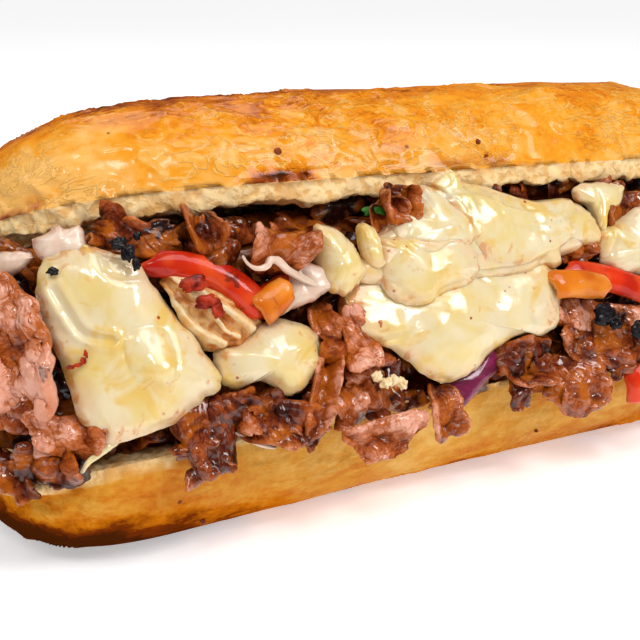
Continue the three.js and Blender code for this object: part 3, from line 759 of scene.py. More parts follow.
PEPPERS = {
    "pepper_red_left": dict(
        corners=((-69, 35, 3), (-48, 23, 6), (-43, 27, 6), (-66, 40, 3)),
        thick=2.6, sag=3.5, curl=(0, -1.6)),
    "pepper_red_centre": dict(
        corners=((-46, 23, 5), (-34, 29, 3), (-35, 34, 3), (-48, 28, 5)), thick=2.4, curl=(0, -1.4)),
    "pepper_orange_centre": dict(
        corners=((-45, 22, 8), (-38, 27, 8), (-40, 32, 6), (-48, 28, 7)), thick=2.4, curl=(0, -1.2)),
    "pepper_orange_right": dict(
        corners=((25, 17, 9), (39, 15, 9), (42, 20, 8), (24, 24, 7)), thick=2.6, sag=1, curl=(0, -1.4)),
    "pepper_red_right": dict(
        corners=((31, 20, 5), (60, 7, 8), (62, 13, 7), (31, 26, 4)), thick=2.6, sag=2, curl=(0, -1.4)),
    "pepper_red_low": dict(
        corners=((43, -11, 7), (56, -12, 6), (57, -1, 6), (44, -1, 7)),
        thick=2.6, dome=1.5, curl=(-1, -1)),
    "pepper_orange_end": dict(
        corners=((73, -2, 10), (87, -5, 9), (88, 1, 8), (75, 5, 9)), thick=2.6, sag=1, curl=(0, -1.4)),
}

ONIONS = {
    "onion_white_left": dict(
        outline=((-86.7, 43.6), (-83.9, 44.8), (-82.2, 46.2), (-80.1, 45.6), (-77.5, 45.9), (-77.6, 41.2),
                 (-81.3, 40.1), (-84.9, 39.5), (-86.5, 40.0)),
        depth=3.0, lean=-0.2, thick=1.6, lift=0.6, bumps=0.4, waver=0.05),
    "onion_white_end": dict(
        outline=((-96.6, 39.0), (-94.5, 40.2), (-92.2, 41.0), (-88.3, 41.3), (-86.7, 40.2), (-89.5, 37.4),
                 (-92.9, 35.6), (-96.9, 35.2)),
        depth=3.0, lean=-0.2, thick=1.6, lift=0.8, bumps=0.4, waver=0.05),
    "onion_white_low": dict(
        outline=((-64.2, 34.8), (-63.4, 30.3), (-62.6, 26.2), (-60.6, 22.0), (-58.5, 19.0), (-54.5, 18.4),
                 (-50.1, 19.0), (-45.4, 22.3), (-45.7, 25.0), (-47.9, 27.7), (-50.5, 31.0), (-54.3, 33.5),
                 (-58.9, 34.9)),
        depth=5.4, lean=-0.1, thick=1.6, lift=0.8, bumps=1.3, waver=0.05,
        folds=((((-66.3, 35.8), (-60.6, 33.7), (-55.6, 28.8), (-50, 24), (-47.8, 21.6)), -1.0, 1.0),
               (((-64.8, 32.1), (-62.7, 28), (-60.2, 24.2), (-57.7, 21.8), (-54.4, 19.9)), -0.9, 1.1),
               (((-62, 33.5), (-58.3, 29.2), (-55.5, 25.6), (-54, 22.4), (-51.2, 20.8)), -0.9, 0.7))),
    "onion_white_centre": dict(
        outline=((-37.5, 33.6), (-33, 33.4), (-29.4, 31.8), (-28.1, 28.0), (-32.6, 25.5), (-38.3, 24.2),
                 (-41.4, 23.6), (-39.6, 28.4)),
        depth=5.0, lean=-0.1, thick=1.6, lift=1.0, bumps=0.8, waver=0.05),
    "onion_red_centre": dict(
        outline=((-4.6, 3.4), (0, 4.6), (5.5, 7.0), (9.8, 8.8), (10.4, 4.2), (5.2, 0.8), (0.4, -2.8),
                 (-2.6, -3.6), (-4.4, -0.4)),
        depth=4.6, lean=-0.1, thick=1.6, lift=1.0, bumps=0.5, waver=0.03),
}

# Shaved beef from the left end to the right; cook is how brown it is, from pink 0 to
# dark 1, to which painted shade is added in the hollows, and loose is how many small shreds lie
# on it. Torn beef is thinner than given, by the share THINNED.
THINNED = 0.7
BEEF = (
    dict(corners=((-100, 9, 5), (-82, 8, 6), (-84, 35, 5), (-98, 36, 2)),
         thick=6, dome=3, waves=0.8, loose=0,
         cook=-0.06, veins=0.45),
    dict(corners=((-101, 4, 5), (-90, 5, 6), (-90, 15, 5), (-101, 15, 4)),
         thick=4, dome=1.5, loose=2, cook=0.6),
    dict(corners=((-93, 0, 7), (-77, 1, 8), (-79, 9, 4), (-93, 9, 4)),
         thick=3, curl=(1, -1), loose=1, cook=0.3),
    dict(corners=((-98, -6, 6), (-83, -5, 7), (-83, 3, 6), (-96, 4, 6)),
         thick=3, dome=1.5, loose=3, cook=0.8),
    dict(corners=((-101, -8, 4), (-92, -9, 5), (-93, -1, 6), (-101, 0, 5)),
         thick=3, dome=1, loose=2, cook=0.7),
    dict(corners=((-76, 39, 1), (-57, 37, 2), (-60, 45, 0), (-77, 48, 0)), thick=3, waves=1, cook=0.85),
    dict(corners=((-57, 37, 2), (-49, 37, 4), (-50, 47, 0), (-59, 48, 0)),
         thick=2.6, curl=(3, 0), cook=0.75),
    dict(corners=((-50, 31, 6), (-36, 28.5, 7.5), (-27.5, 42, 4.5), (-44, 46, 3)),
         thick=3.4, curl=(3, -2), bend=(0.9, -1.9), dome=2, loose=0, cook=0.6),
    dict(corners=((-15, 37, 2), (-5, 38, 3), (-4, 47, 0), (-15, 48, 0)),
         thick=3, curl=(2, 0), cook=0.75),
    dict(corners=((31, 24, 2), (44, 25, 3), (46, 30, 2), (32, 30, 1)), thick=2.6, waves=1, cook=0.55),
    dict(corners=((46, 31, 1), (60, 29, 1), (61, 41, -1), (46, 41, 0)),
         thick=3, curl=(2, 0), cook=0.75),
    dict(corners=((-29, -11, 8), (-18, -10, 9), (-10, 1, 8), (-35, -1, 7)),
         thick=2.4, curl=(-2, -2), loose=0, cook=0.35),
    dict(corners=((-32, -2, 5), (-17, -1, 6), (-12, 7, 5), (-31, 8, 4)),
         thick=2.6, curl=(1, -2), cook=0.5),
    dict(corners=((-30, 8, 4), (-19, 8, 6), (-18, 21, 4), (-28, 25, 2)), thick=3, dome=2, cook=0.25),
    dict(corners=((-43, -4, 8), (-36, -3, 9), (-28, 14, 5), (-34, 16, 4)),
         thick=2.6, curl=(2, 0), cook=0.5),
    dict(corners=((-12, -10, 6), (-3, -9, 7), (-3, 3, 5), (-12, 4, 5)),
         thick=2.6, curl=(4, -2), loose=0, cook=0.65),
    dict(corners=((-65, -6, 8), (-54, -6, 8), (-53, 11, 5), (-69, 11, 4)),
         thick=2.8, waves=1.2, cook=0.7),
    dict(corners=((-54, -1, 7), (-39, -6, 8), (-34, 4, 6), (-56, 11, 4)),
         thick=2.8, waves=1.2, cook=0.7),
    dict(corners=((10, -2, 6), (22, -3, 7), (25, 9, 4), (9, 11, 4)), thick=3, waves=1.2, cook=0.7),
    dict(corners=((23, -11, 8), (37, -10, 8), (41, 2, 5), (20, 5, 5)), thick=3, waves=1, cook=0.5),
    dict(corners=((27, 2, 4), (50, -5, 6), (51, 7, 4), (27, 13, 3)), thick=3, waves=1.2, cook=0.65),
    dict(corners=((24, 11, 3), (53, 2, 4), (55, 11, 2), (24, 19, 1)),
         thick=3, waves=0.8, loose=0, cook=0.25),
    dict(corners=((-34, 13, 3), (-28, 14, 3), (-28, 26, 1), (-34, 25, 1)),
         thick=2.6, curl=(3, 0), loose=0, cook=0.45),
    dict(corners=((54, -9, 7), (70, -10, 8), (73, 6, 5), (55, 7, 5)), thick=3, waves=1.2, cook=0.65),
    dict(corners=((57, 6, 3), (76, 1, 5), (80, 15, 3), (60, 17, 1)), thick=3, waves=1, cook=0.35),
    dict(corners=((84, -7, 7), (99, -6, 6), (98, 10, 4), (85, 8, 5)), thick=3, waves=1, cook=0.7),
    dict(corners=((72, 28, 2), (88, 27, 2), (88, 40, 0), (72, 42, 0)), thick=3, curl=(2, 0), cook=0.75),
    dict(corners=((89, 12, 5), (100, 11, 4), (98, 29, 2), (88, 30, 3)), thick=4.5, dome=2, cook=0.3),
)


def join(parts):
    """Several (points, quads, attributes) made one, with the faces' numbers moved on."""
    points, quads, start = [], [], 0
    for part in parts:
        points.append(part[0])
        quads.append(part[1] + start)
        start += len(part[0])
    hold = {key: np.concatenate([part[2][key] for part in parts]) for key in parts[0][2]}
    return np.concatenate(points), np.concatenate(quads), hold


def beef_sheet(seed, cook, thick, **shape):
    """A torn, fibrous slice. Every point stores how brown it is, more in patches, and painted shade
    that makes it darker in its hollows.
    """
    bend = (2.4 * (steady(seed, 40) - 0.4), 2.0 * (steady(seed, 41) - 0.5))
    usual = dict(fray=0.06, pucker=0.9, fibre=0.12, veins=0.28, lumps=0.3, waves=1.5, rounded=0.7, bend=bend)
    points, quads, hold = sheet(seed=seed, thick=THINNED * thick, **(usual | shape))
    patches = 0.22 * rough(hold["grain"][:, 0] / 8, hold["grain"][:, 1] / 8, 0.0, seed + 9, 2)
    # Painted shade: the hollows of the sheet are made darker.
    hold["cook"] = cook + patches - 0.15 * np.clip(hold.pop("rise"), -3, 3)
    return points, quads, hold


def ribbons(seed, cook, corners, count):
    """Small rolled shreds lying across a slice, each at a random place between its corners."""
    low, low_right, high, high_left = np.array(corners, float)
    parts = []
    for i in range(count):
        a, b, c, d, e, g = (steady(seed + 900, 6 * i + n) for n in range(6))
        a = 0.1 + 0.7 * a
        middle = (1 - a) * ((1 - b) * low + b * high_left) + a * ((1 - b) * low_right + b * high)
        middle[2] = min(middle[2] + 0.1 + 0.7 * c, RIBBON_REACH)
        turn = 2 * math.pi * d
        run = (3.0 + 3.0 * e) * np.array((math.cos(turn), math.sin(turn), 0.5 * (g - 0.5)))
        rise = (2.0 + 2.2 * g) * np.array((-math.sin(turn), math.cos(turn), 0.7 * (c - 0.5)))
        corners = [place(*(middle + p * run + q * rise)) for p, q in SQUARE]
        bend = (2.4 * (e - 0.5), -0.6 - 1.9 * d)
        browned = cook + 0.5 * (a - 0.15)
        parts.append(beef_sheet(seed + 7 * i, browned, corners=corners, thick=1.5, bend=bend, waves=0.9,
                                pucker=0.7, fray=0.12, cells=RIBBON_CELLS))
    return parts


def heap_core():
    """The wedge behind the slices: a fixed section carried along, shrinking at the ends, lumpy."""
    profile = ((-34, 27), (-34.5, 32), (-31, 44), (-25, 57), (-17, 68), (-4, 65), (10, 56), (14, 44),
               (12, 27))
    profile = smooth_path(profile, HEAP_POINTS, True)
    x = stations(HEAP_HALF_LENGTH, HEAP_STEPS)[:, None]
    t = fullness(x, HEAP_HALF_LENGTH, 12)
    y = profile[:, 0] * t
    z = HEAP_MIDDLE_Z + (profile[:, 1] - HEAP_MIDDLE_Z) * (0.5 + 0.5 * t)
    rings = np.stack([np.broadcast_to(x, y.shape), y, z], -1)
    relief = 1.6 * rough(rings[..., 0] / 6, rings[..., 1] / 4, rings[..., 2] / 4, 12, 3) - 0.8
    rings = rings + relief[..., None] * outward_normals(rings)
    tips = [(side * HEAP_HALF_LENGTH, 2, 38) for side in (-1, 1)]
    return closed_loft(rings, *np.array(tips))


def heap_shreds():
    """Torn shreds over the heap's front in rough rows, deeper near the top, and over both its ends.

    The front shreds are coloured darker than the slices, as painted shade in the gaps between them.
    """
    parts = []
    for row in range(HEAP_ROWS):
        for column in range(HEAP_COLUMNS):
            seed = HEAP_SEED + row * HEAP_COLUMNS + column
            a, b, c, d, e = (steady(seed, n) for n in range(5))
            x = HEAP_HALF_LENGTH * (2 * (column + 0.15 + 0.7 * a) / HEAP_COLUMNS - 1)
            up = -1 + HEAP_TOP * (row + 0.1 + 0.8 * b) / HEAP_ROWS
            wide, tall, slant = 3.8 + 4.5 * c, 2.2 + 2.8 * d, 5 * (e - 0.5)
            out = -3.8 + 4.4 * steady(seed, 5) - 0.1 * up
            tip, tilt = 3 * (steady(seed, 6) - 0.5), 3 * (steady(seed, 11) - 0.4)
            corners = [(x + p * wide, up + q * tall + p * slant, out - q * tilt - p * tip)
                       for p, q in SQUARE]
            bend = (3.0 * (steady(seed, 9) - 0.6), 3.6 * (steady(seed, 10) - 0.6))
            # Painted shade: the front shreds are browned darker than the slices, so the gaps between them
            # read as shade.
            cook, thick = 0.66 + 0.6 * steady(seed, 7), 1.7 + steady(seed, 8)
            parts.append(beef_sheet(seed, cook, corners=corners, thick=thick, bend=bend, waves=1.0,
                                    pucker=0.9, cells=SHRED_CELLS))
    for side in (-1, 1):
        for row in range(END_ROWS):
            for column in range(END_COLUMNS):
                seed = END_SEED + 40 * side + row * END_COLUMNS + column
                y = -24 + 40 * (column + steady(seed, 0)) / END_COLUMNS
                z = 31 + 34 * (row + steady(seed, 1)) / END_ROWS - 0.35 * max(0.0, y)
                wide, tall = 5 + 3 * steady(seed, 2), 2.5 + 2.5 * steady(seed, 3)
                tip = 3 * (steady(seed, 4) - 0.5)
                x = side * (92.5 - 0.05 * abs(y + 4) + 2 * steady(seed, 5))
                corners = [np.array((x + side * 0.6 * p, y + side * wide * p, z + tall * q + tip * p))
                           for p, q in SQUARE]
                curl, cook = (2.5 * (steady(seed, 7) - 0.5), 1.0), 0.3 + 0.5 * steady(seed, 6)
                parts.append(beef_sheet(seed, cook, corners=corners, thick=2.0, curl=curl, waves=1.0,
                                        pucker=1.1, cells=SHRED_CELLS))
    return parts


# Shader maths and finishes.


class Flow:
    """One output socket. The operators on it add Math nodes to its material."""

    def __init__(self, tree, socket):
        self.tree = tree
        self.socket = socket

    def math(self, operation, first, second=0.0):
        return add_node(self.tree, "ShaderNodeMath", {"operation": operation}, {0: first, 1: second})

    def __add__(self, other):
        return self.math("ADD", self, other)

    __radd__ = __add__

    def __mul__(self, other):
        return self.math("MULTIPLY", self, other)

    __rmul__ = __mul__

    def __sub__(self, other):
        return self.math("SUBTRACT", self, other)

    def __rsub__(self, other):
        return self.math("SUBTRACT", other, self)


def add_node(tree, kind, settings=None, sockets=None, output=0):
    """A node with its settings made first, then its sockets' values or links; gives one output."""
    node = tree.nodes.new(kind)
    for key, value in (settings or {}).items():
        if key == "stops":
            ramp = node.color_ramp
            while len(ramp.elements) < len(value):
                ramp.elements.new(0.5)
            for element, (position, colour) in zip(ramp.elements, value):
                element.position = position
                element.color = (*colour, 1.0)
        else:
            setattr(node, key, value)
    for key, value in (sockets or {}).items():
        socket = node.inputs[key]
        if isinstance(value, Flow):
            tree.links.new(value.socket, socket)
        elif socket.type == "RGBA":
            socket.default_value = (*value, 1.0)
        else:
            socket.default_value = value
    return Flow(tree, node.outputs[output])


class Finish:
    """A material in the making, with short ways to its usual nodes."""

    def __init__(self, name):
        self.material = bpy.data.materials.new(name)
        self.material.use_nodes = True
        self.tree = self.material.node_tree
        self.tree.nodes.clear()
        self.where = self.node("ShaderNodeTexCoord", output="Object")

    def node(self, kind, settings=None, sockets=None, output=0):
        return add_node(self.tree, kind, settings, sockets, output)

    def held(self, name, output="Fac"):
        return self.node("ShaderNodeAttribute", {"attribute_name": name}, output=output)

    def stretched(self, scale, vector=None):
        sockets = {0: vector or self.where, 1: scale}
        return self.node("ShaderNodeVectorMath", {"operation": "MULTIPLY"}, sockets)

    def noise(self, size_mm, detail, vector=None, warp=0.0):
        sockets = {"Vector": vector or self.where, "Scale": 1000.0 / size_mm, "Detail": detail,
                   "Roughness": 0.55, "Distortion": warp}
        return self.node("ShaderNodeTexNoise", None, sockets)

    def along_grain(self, grain, squeeze, detail):
        """Noise drawn out along a sheet's own grain, which is held in millimetres."""
        sockets = {"Vector": self.stretched(squeeze, grain), "Scale": 1.0, "Detail": detail}
        return self.node("ShaderNodeTexNoise", None, sockets)

    def dots(self, size_mm):
        """The distance to the nearest of many scattered points."""
        return self.node("ShaderNodeTexVoronoi", None, {"Vector": self.where, "Scale": 1000.0 / size_mm})

    def between(self, value, low, high):
        """0 at low, 1 at high, a smooth step between, also where high is the lesser."""
        sockets = {"Value": value, "From Min": low, "From Max": high}
        return self.node("ShaderNodeMapRange", {"interpolation_type": "SMOOTHSTEP"}, sockets)

    def blend(self, share, first, second):
        return self.node("ShaderNodeMix", {"data_type": "RGBA"}, {0: share, 6: first, 7: second}, 2)

    def near(self, value, level, width):
        """One where the value is at the level, falling to nothing at the width on either side."""
        gap = self.node("ShaderNodeMath", {"operation": "ABSOLUTE"}, {0: value - level})
        return 1 - self.between(gap, 0.0, width)

    def ramp(self, value, stops):
        return self.node("ShaderNodeValToRGB", {"stops": stops}, {"Fac": value})

    def bump(self, height, distance_mm, strength):
        sockets = {"Height": height, "Distance": distance_mm * MM, "Strength": strength}
        return self.node("ShaderNodeBump", None, sockets)

    def done(self, **sockets):
        """The finished material: its shader's sockets are named with _ for a space."""
        names = {key.replace("_", " "): value for key, value in sockets.items()}
        shader = self.node("ShaderNodeBsdfPrincipled", None, names)
        out = self.tree.nodes.new("ShaderNodeOutputMaterial")
        self.tree.links.new(shader.socket, out.inputs["Surface"])
        return self.material


# Skin colours from palest to darkest, at five steps of baking.
BAKING = (0.0, 0.28, 0.5, 0.75, 1.0)
TOP_TONES = (
    (0.84, 0.45, 0.115), (0.80, 0.31, 0.018), (0.68, 0.19, 0.006), (0.30, 0.052, 0.002),
    (0.045, 0.010, 0.002))
# The lower half's tones are darker than the top's: partly its own colour, partly painted shade for a lower
# half that gets less of the light from above.
SHADED_BASE_TONES = (
    (0.73, 0.42, 0.10), (0.63, 0.28, 0.028), (0.54, 0.155, 0.004), (0.18, 0.030, 0.002),
    (0.06, 0.013, 0.002))

# Pepper colours: deep, bright and pale. Onion colours: flesh, vein and flush.
PEPPER_TONES = {
    "pepper_red": ((0.40, 0.010, 0.003), (0.72, 0.035, 0.004), (0.76, 0.11, 0.02)),
    "pepper_orange": ((0.50, 0.085, 0.003), (0.72, 0.19, 0.006), (0.78, 0.30, 0.04)),
}
ONION_TONES = {
    "onion_white": ((0.66, 0.46, 0.34), (0.76, 0.60, 0.47), (0.58, 0.24, 0.15)),
    "onion_red": ((0.10, 0.002, 0.022), (0.22, 0.008, 0.07), (0.42, 0.06, 0.18)),
}


def crust_finish(name, tones, dull, shine, creases):
    """Baked skin from straw to deep brown, with crumb where the roll is cut. Its ridges carry a painted
    highlight and its dents painted shade.

    It turns matt where the baking passes dull, and shine is its gloss elsewhere. Creases is how
    strong the fine pale lines of painted highlight and the darker bands of painted shade beside them
    are.
    """
    f = Finish(name)
    crumb, bake, lip, rise = f.held("crumb"), f.held("bake"), f.held("lip"), f.held("rise")
    mottle = f.noise(9, 4, warp=0.6)
    fine = f.noise(1.3, 4)
    veins = f.noise(4.5, 3, f.stretched((0.5, 1, 1)), warp=0.8)
    broad = f.noise(6, 2, f.stretched((0.5, 1, 1)), warp=1.8)
    narrow = f.noise(3.4, 2, f.stretched((0.45, 1, 1)), warp=2.4)
    here = f.between(f.noise(22, 2), 0.38, 0.5)
    there = f.between(f.noise(15, 2), 0.48, 0.58)
    # Painted highlight: pale lines stand for light caught on the wrinkle ridges; they also raise the bump.
    lines = (f.near(broad, 0.5, 0.03) * here + f.near(narrow, 0.5, 0.045) * there * 0.7) * creases
    # Painted shade: darker bands beside the pale lines.
    beside = (f.near(broad, 0.56, 0.05) * here + f.near(narrow, 0.58, 0.05) * there) * creases
    blotches = f.noise(26, 3, f.stretched((0.6, 1, 1)))
    tone = bake + (mottle - 0.5) * 0.7 + (blotches - 0.5) * 0.55 + (veins - 0.5) * 0.5
    # Painted highlight and shade from the stored relief: ridges paler, dents darker.
    tone = tone - rise * 0.13 - lines * 0.24 + (fine - 0.5) * 0.3 + beside * 0.12
    skin = f.ramp(tone, tuple(zip(BAKING, tones)))
    speck = f.between(f.dots(13), 0.05, 0.03)
    skin = f.blend(speck * 0.8, skin, (0.12, 0.025, 0.006))
    singed = lip * f.between(f.noise(8, 3, f.stretched((0.35, 1, 1))), 0.5, 0.64)
    skin = f.blend(singed, skin, (0.40, 0.075, 0.012))
    holes = f.between(f.noise(2.1, 3, warp=0.4), 0.36, 0.56)
    soft = f.blend(holes, (0.72, 0.42, 0.15), (0.88, 0.64, 0.33))
    soft = f.blend(f.between(f.noise(7, 3), 0.45, 0.66) * 0.6, soft, (0.66, 0.30, 0.07))
    colour = f.blend(crumb, skin, soft)
    height = (f.noise(0.9, 4) - 0.5) * 0.4 + (veins - 0.5) * 2.0 + fine * 0.3 + lines * 1.1
    height = height * (1 - crumb) + crumb * (holes * 0.8 + fine)
    gloss = 0.38 + (f.noise(5, 3) - 0.5) * 0.3 + crumb * 0.45
    coat = (1 - crumb) * f.between(bake, dull, dull - 0.25) * shine
    return f.done(Base_Color=colour, Roughness=gloss, Normal=f.bump(height, 0.2, 0.8),
                  Specular_IOR_Level=0.0, Coat_Weight=coat, Coat_Roughness=0.14)


def beef_finish():
    """Moist shaved beef: pink to brown with fibres and fine veins, orange fried edges and fat streaks."""
    f = Finish("beef")
    rim, cook, grain = f.held("rim"), f.held("cook"), f.held("grain", "Vector")
    fibres = f.along_grain(grain, (0.14, 1.1, 1), 3.0)
    patches = f.noise(6, 4, warp=0.5)
    net = f.near(f.noise(2.8, 2, warp=1.0), 0.5, 0.07)
    # cook holds the browning and the painted shade of hollows and of the heap behind.
    tone = cook * 0.8 + (patches - 0.5) * 1.15 + (fibres - 0.5) * 0.5 + net * 0.16
    flesh = f.ramp(tone, ((0.0, (0.72, 0.33, 0.22)), (0.17, (0.47, 0.125, 0.034)),
                          (0.40, (0.27, 0.050, 0.008)), (0.66, (0.10, 0.013, 0.003)),
                          (0.95, (0.015, 0.003, 0.002))))
    fried = f.between(rim + (f.noise(3, 3) - 0.5) * 0.5, 0.84, 1.1)
    flesh = f.blend(fried * 0.6, flesh, (0.46, 0.11, 0.014))
    charred = f.between(rim + (f.noise(5, 3, warp=0.5) - 0.5) * 1.6, 1.1, 1.3)
    flesh = f.blend(charred * 0.8, flesh, (0.06, 0.007, 0.004))
    fat = f.between(f.noise(4.5, 3, warp=1.2), 0.64, 0.74)
    flesh = f.blend(fat * 0.3, flesh, (0.66, 0.32, 0.20))
    glaze = f.between(f.noise(8, 4, warp=0.8), 0.5, 0.62) * f.between(cook, 0.1, 0.35)
    flesh = f.blend(glaze * 0.7, flesh, (0.46, 0.11, 0.006))
    height = (fibres - 0.5) * 1.4 + (f.noise(1.3, 3) - 0.5) * 0.6 + (patches - 0.5) - net * 0.4
    gloss = 0.34 + (f.noise(3.5, 3) - 0.5) * 0.3
    wet = 0.06 + f.between(f.noise(7, 3, warp=0.6), 0.40, 0.54) * 0.9
    return f.done(Base_Color=flesh, Roughness=gloss, Normal=f.bump(height, 0.3, 0.55),
                  Specular_IOR_Level=0.04, Coat_Weight=wet, Coat_Roughness=0.06)


def cheese_finish():
    """Pale melted cheese, clouded with oil, with a few fried orange flecks."""
    f = Finish("cheese")
    rim = f.held("rim")
    cloud = f.noise(11, 3, warp=0.4)
    colour = f.blend(f.between(cloud, 0.38, 0.66), (0.75, 0.63, 0.40), (0.73, 0.55, 0.21))
    pink = f.between(rim + (f.noise(7, 3, warp=0.5) - 0.5) * 0.9, 0.62, 1.02)
    colour = f.blend(pink * 0.5, colour, (0.74, 0.44, 0.24))
    # Orange at the very edge: partly an oil stain, partly painted warm light bounced from the beef.
    stain_and_bounce = f.between(rim + (f.noise(4, 3, warp=0.7) - 0.5) * 1.5, 0.95, 1.15)
    colour = f.blend(stain_and_bounce * 0.7, colour, (0.62, 0.22, 0.04))
    golden = f.between(f.noise(9, 3, warp=0.8), 0.54, 0.68)
    colour = f.blend(golden * 0.75, colour, (0.73, 0.46, 0.08))
    oily = f.between(f.noise(4.2, 4, warp=0.8), 0.63, 0.76)
    colour = f.blend(oily * 0.7, colour, (0.66, 0.25, 0.02))
    fleck = f.between(f.dots(3.4), 0.14, 0.06) * f.between(f.noise(13, 2), 0.48, 0.58)
    colour = f.blend(fleck, colour, (0.36, 0.035, 0.004))
    height = f.noise(2.6, 2) * 0.4 + f.noise(6, 2)
    gloss = 0.18 + (f.noise(6, 2) - 0.5) * 0.14
    return f.done(Base_Color=colour, Roughness=gloss, Normal=f.bump(height, 0.35, 0.7),
                  Subsurface_Weight=0.4, Subsurface_Radius=(1.0, 0.75, 0.35), Subsurface_Scale=0.0022,
                  Coat_Weight=0.55, Coat_Roughness=0.05)


def pepper_finish(name, deep, bright, pale):
    """Cooked pepper skin: a deep glossy colour with soft streaks and fried spots."""
    f = Finish(name)
    grain, rim = f.held("grain", "Vector"), f.held("rim")
    streaks = f.along_grain(grain, (0.05, 0.12, 1), 2.0)
    colour = f.blend(f.between(streaks, 0.25, 0.8), deep, bright)
    colour = f.blend(f.between(rim, 0.9, 1.0) * 0.5, colour, pale)
    colour = f.blend(f.between(f.noise(10, 2), 0.48, 0.62) * 0.45, colour, pale)
    spots = f.between(f.noise(3.4, 3, warp=0.7), 0.62, 0.72)
    colour = f.blend(spots * 0.8, colour, (0.10, 0.012, 0.005))
    normal = f.bump(f.noise(2.6, 3), 0.25, 0.5)
    return f.done(Base_Color=colour, Roughness=0.18 + streaks * 0.1, Normal=normal,
                  Specular_IOR_Level=0.1, Coat_Weight=0.4, Coat_Roughness=0.07)


def onion_finish(name, flesh, vein, flush):
    """Soft onion or fat: milky with cloudy veins, flushed at the edge."""
    f = Finish(name)
    rim = f.held("rim")
    veins = f.noise(5, 3, f.stretched((0.4, 1, 1)), warp=0.6)
    colour = f.blend(f.between(veins, 0.35, 0.7), flesh, vein)
    colour = f.blend(f.between(rim + (f.noise(3, 2) - 0.5) * 0.5, 0.72, 1.05) * 0.75, colour, flush)
    return f.done(Base_Color=colour, Roughness=0.22 + veins * 0.1, Normal=f.bump(veins, 0.3, 0.5),
                  Subsurface_Weight=0.4, Subsurface_Radius=(1.0, 0.6, 0.5), Subsurface_Scale=0.0015,
                  Coat_Weight=0.4, Coat_Roughness=0.1)


def web_finish():
    """Oily juices with paler melted cheese drawn over them along the raised folds."""
    f = Finish("oily_web")
    rise = f.held("rise")
    blotch = f.noise(3, 3, warp=0.6)
    under = f.blend(f.between(blotch, 0.4, 0.62), (0.52, 0.16, 0.025), (0.74, 0.42, 0.15))
    over = f.blend(f.between(blotch, 0.42, 0.7), (0.80, 0.64, 0.38), (0.74, 0.42, 0.14))
    colour = f.blend(f.between(rise + (blotch - 0.5) * 2.2, -0.4, 0.15), under, over)
    return f.done(Base_Color=colour, Roughness=0.2 + blotch * 0.1, Normal=f.bump(blotch, 0.3, 0.5),
                  Subsurface_Weight=0.3, Subsurface_Radius=(1.0, 0.6, 0.4), Subsurface_Scale=0.0015,
                  Specular_IOR_Level=0.2, Coat_Weight=0.5, Coat_Roughness=0.07)


def plain_finish(name, dark, light, size_mm, roughness):
    """Two mottled tones for small bits."""
    f = Finish(name)
    spots = f.noise(size_mm, 4)
    colour = f.blend(f.between(spots, 0.35, 0.65), dark, light)
    return f.done(Base_Color=colour, Roughness=roughness + spots * 0.2, Normal=f.bump(spots, 0.2, 0.7),
                  Specular_IOR_Level=0.15)


# Small loose bits.


def nugget(centre, radii, seed, lumps, rings, sides):
    """A lumpy egg: rings of latitude about a place on the filling or a point, varied by noise."""
    at = centre if isinstance(centre, np.ndarray) else place(*centre)
    tilt = np.linspace(0, np.pi, rings + 2)[1:-1][:, None]
    turn = np.linspace(0, 2 * np.pi, sides, endpoint=False)[None]
    ball = np.stack([np.sin(tilt) * np.cos(turn), np.sin(tilt) * np.sin(turn), np.cos(tilt) + 0 * turn], -1)
    warped = ball * 2.1 + 0.6 * ball[..., (1, 2, 0)] + 0.37
    swell = 1 + lumps * rough(warped[..., 0], warped[..., 1], warped[..., 2], seed, 2)
    axes = np.stack([np.array((1.0, 0, 0)), UP, OUT])
    skin = at + (ball * swell[..., None] * np.asarray(radii)) @ axes
    pole = radii[2] * OUT
    return closed_loft(skin, at + pole, at - pole)


def joined_lofts(lofts):
    """Several (points, quads, tris) made one."""
    points, quads, tris, start = [], [], [], 0
    for loft in lofts:
        points.append(loft[0])
        quads.append(loft[1] + start)
        tris.append(loft[2] + start)
        start += len(loft[0])
    return np.concatenate(points), np.concatenate(quads), np.concatenate(tris)


def strand(route, radii, seed):
    """A melted thread along (along, up, out) places, its radius running from one to another.

    Both its ends are thinned by a half wave of a sine.
    """
    path = place(*smooth_path(route, THREAD_SAMPLES).T)
    taper = 0.55 + 0.45 * np.sin(np.linspace(0.1, np.pi - 0.1, THREAD_SAMPLES))
    return swept_tube(path, np.linspace(*radii, THREAD_SAMPLES) * taper, seed)


# Bits as (along, up, out), (radii along, up, out).
CHAR_BITS = (
    ((-72.6, 41.6, 8.4), (1.7, 1.2, 0.8)), ((-71.3, 39.7, 8.8), (1.2, 1.6, 0.8)),
    ((-70.1, 37.6, 9.1), (0.8, 1.4, 0.6)), ((-84.9, 37.1, 7.6), (1.1, 0.8, 0.5)),
    ((-67.9, 43.0, 4.0), (0.8, 0.8, 0.5)), ((37.2, 11.9, 9.6), (2.9, 2.5, 1.1)),
    ((39.6, 9.6, 9.6), (1.8, 1.6, 0.9)), ((46.4, 7.0, 10.0), (2.6, 2.2, 1.0)),
)
CHILLI_BITS = (
    ((-84.6, 18.7, 8.2), (0.8, 0.4, 0.2)), ((-83.3, 19.1, 8.35), (0.7, 0.4, 0.2)),
    ((-82.2, 19.9, 8.5), (0.6, 0.7, 0.2)), ((-81.6, 21.2, 8.7), (0.4, 0.8, 0.2)),
    ((-59.6, 32.5, 8.2), (2.6, 1.5, 0.6)), ((-57.2, 28.6, 8.5), (2.3, 1.3, 0.6)),
    ((-55.6, 26.6, 8.5), (1.3, 1.5, 0.5)),
)
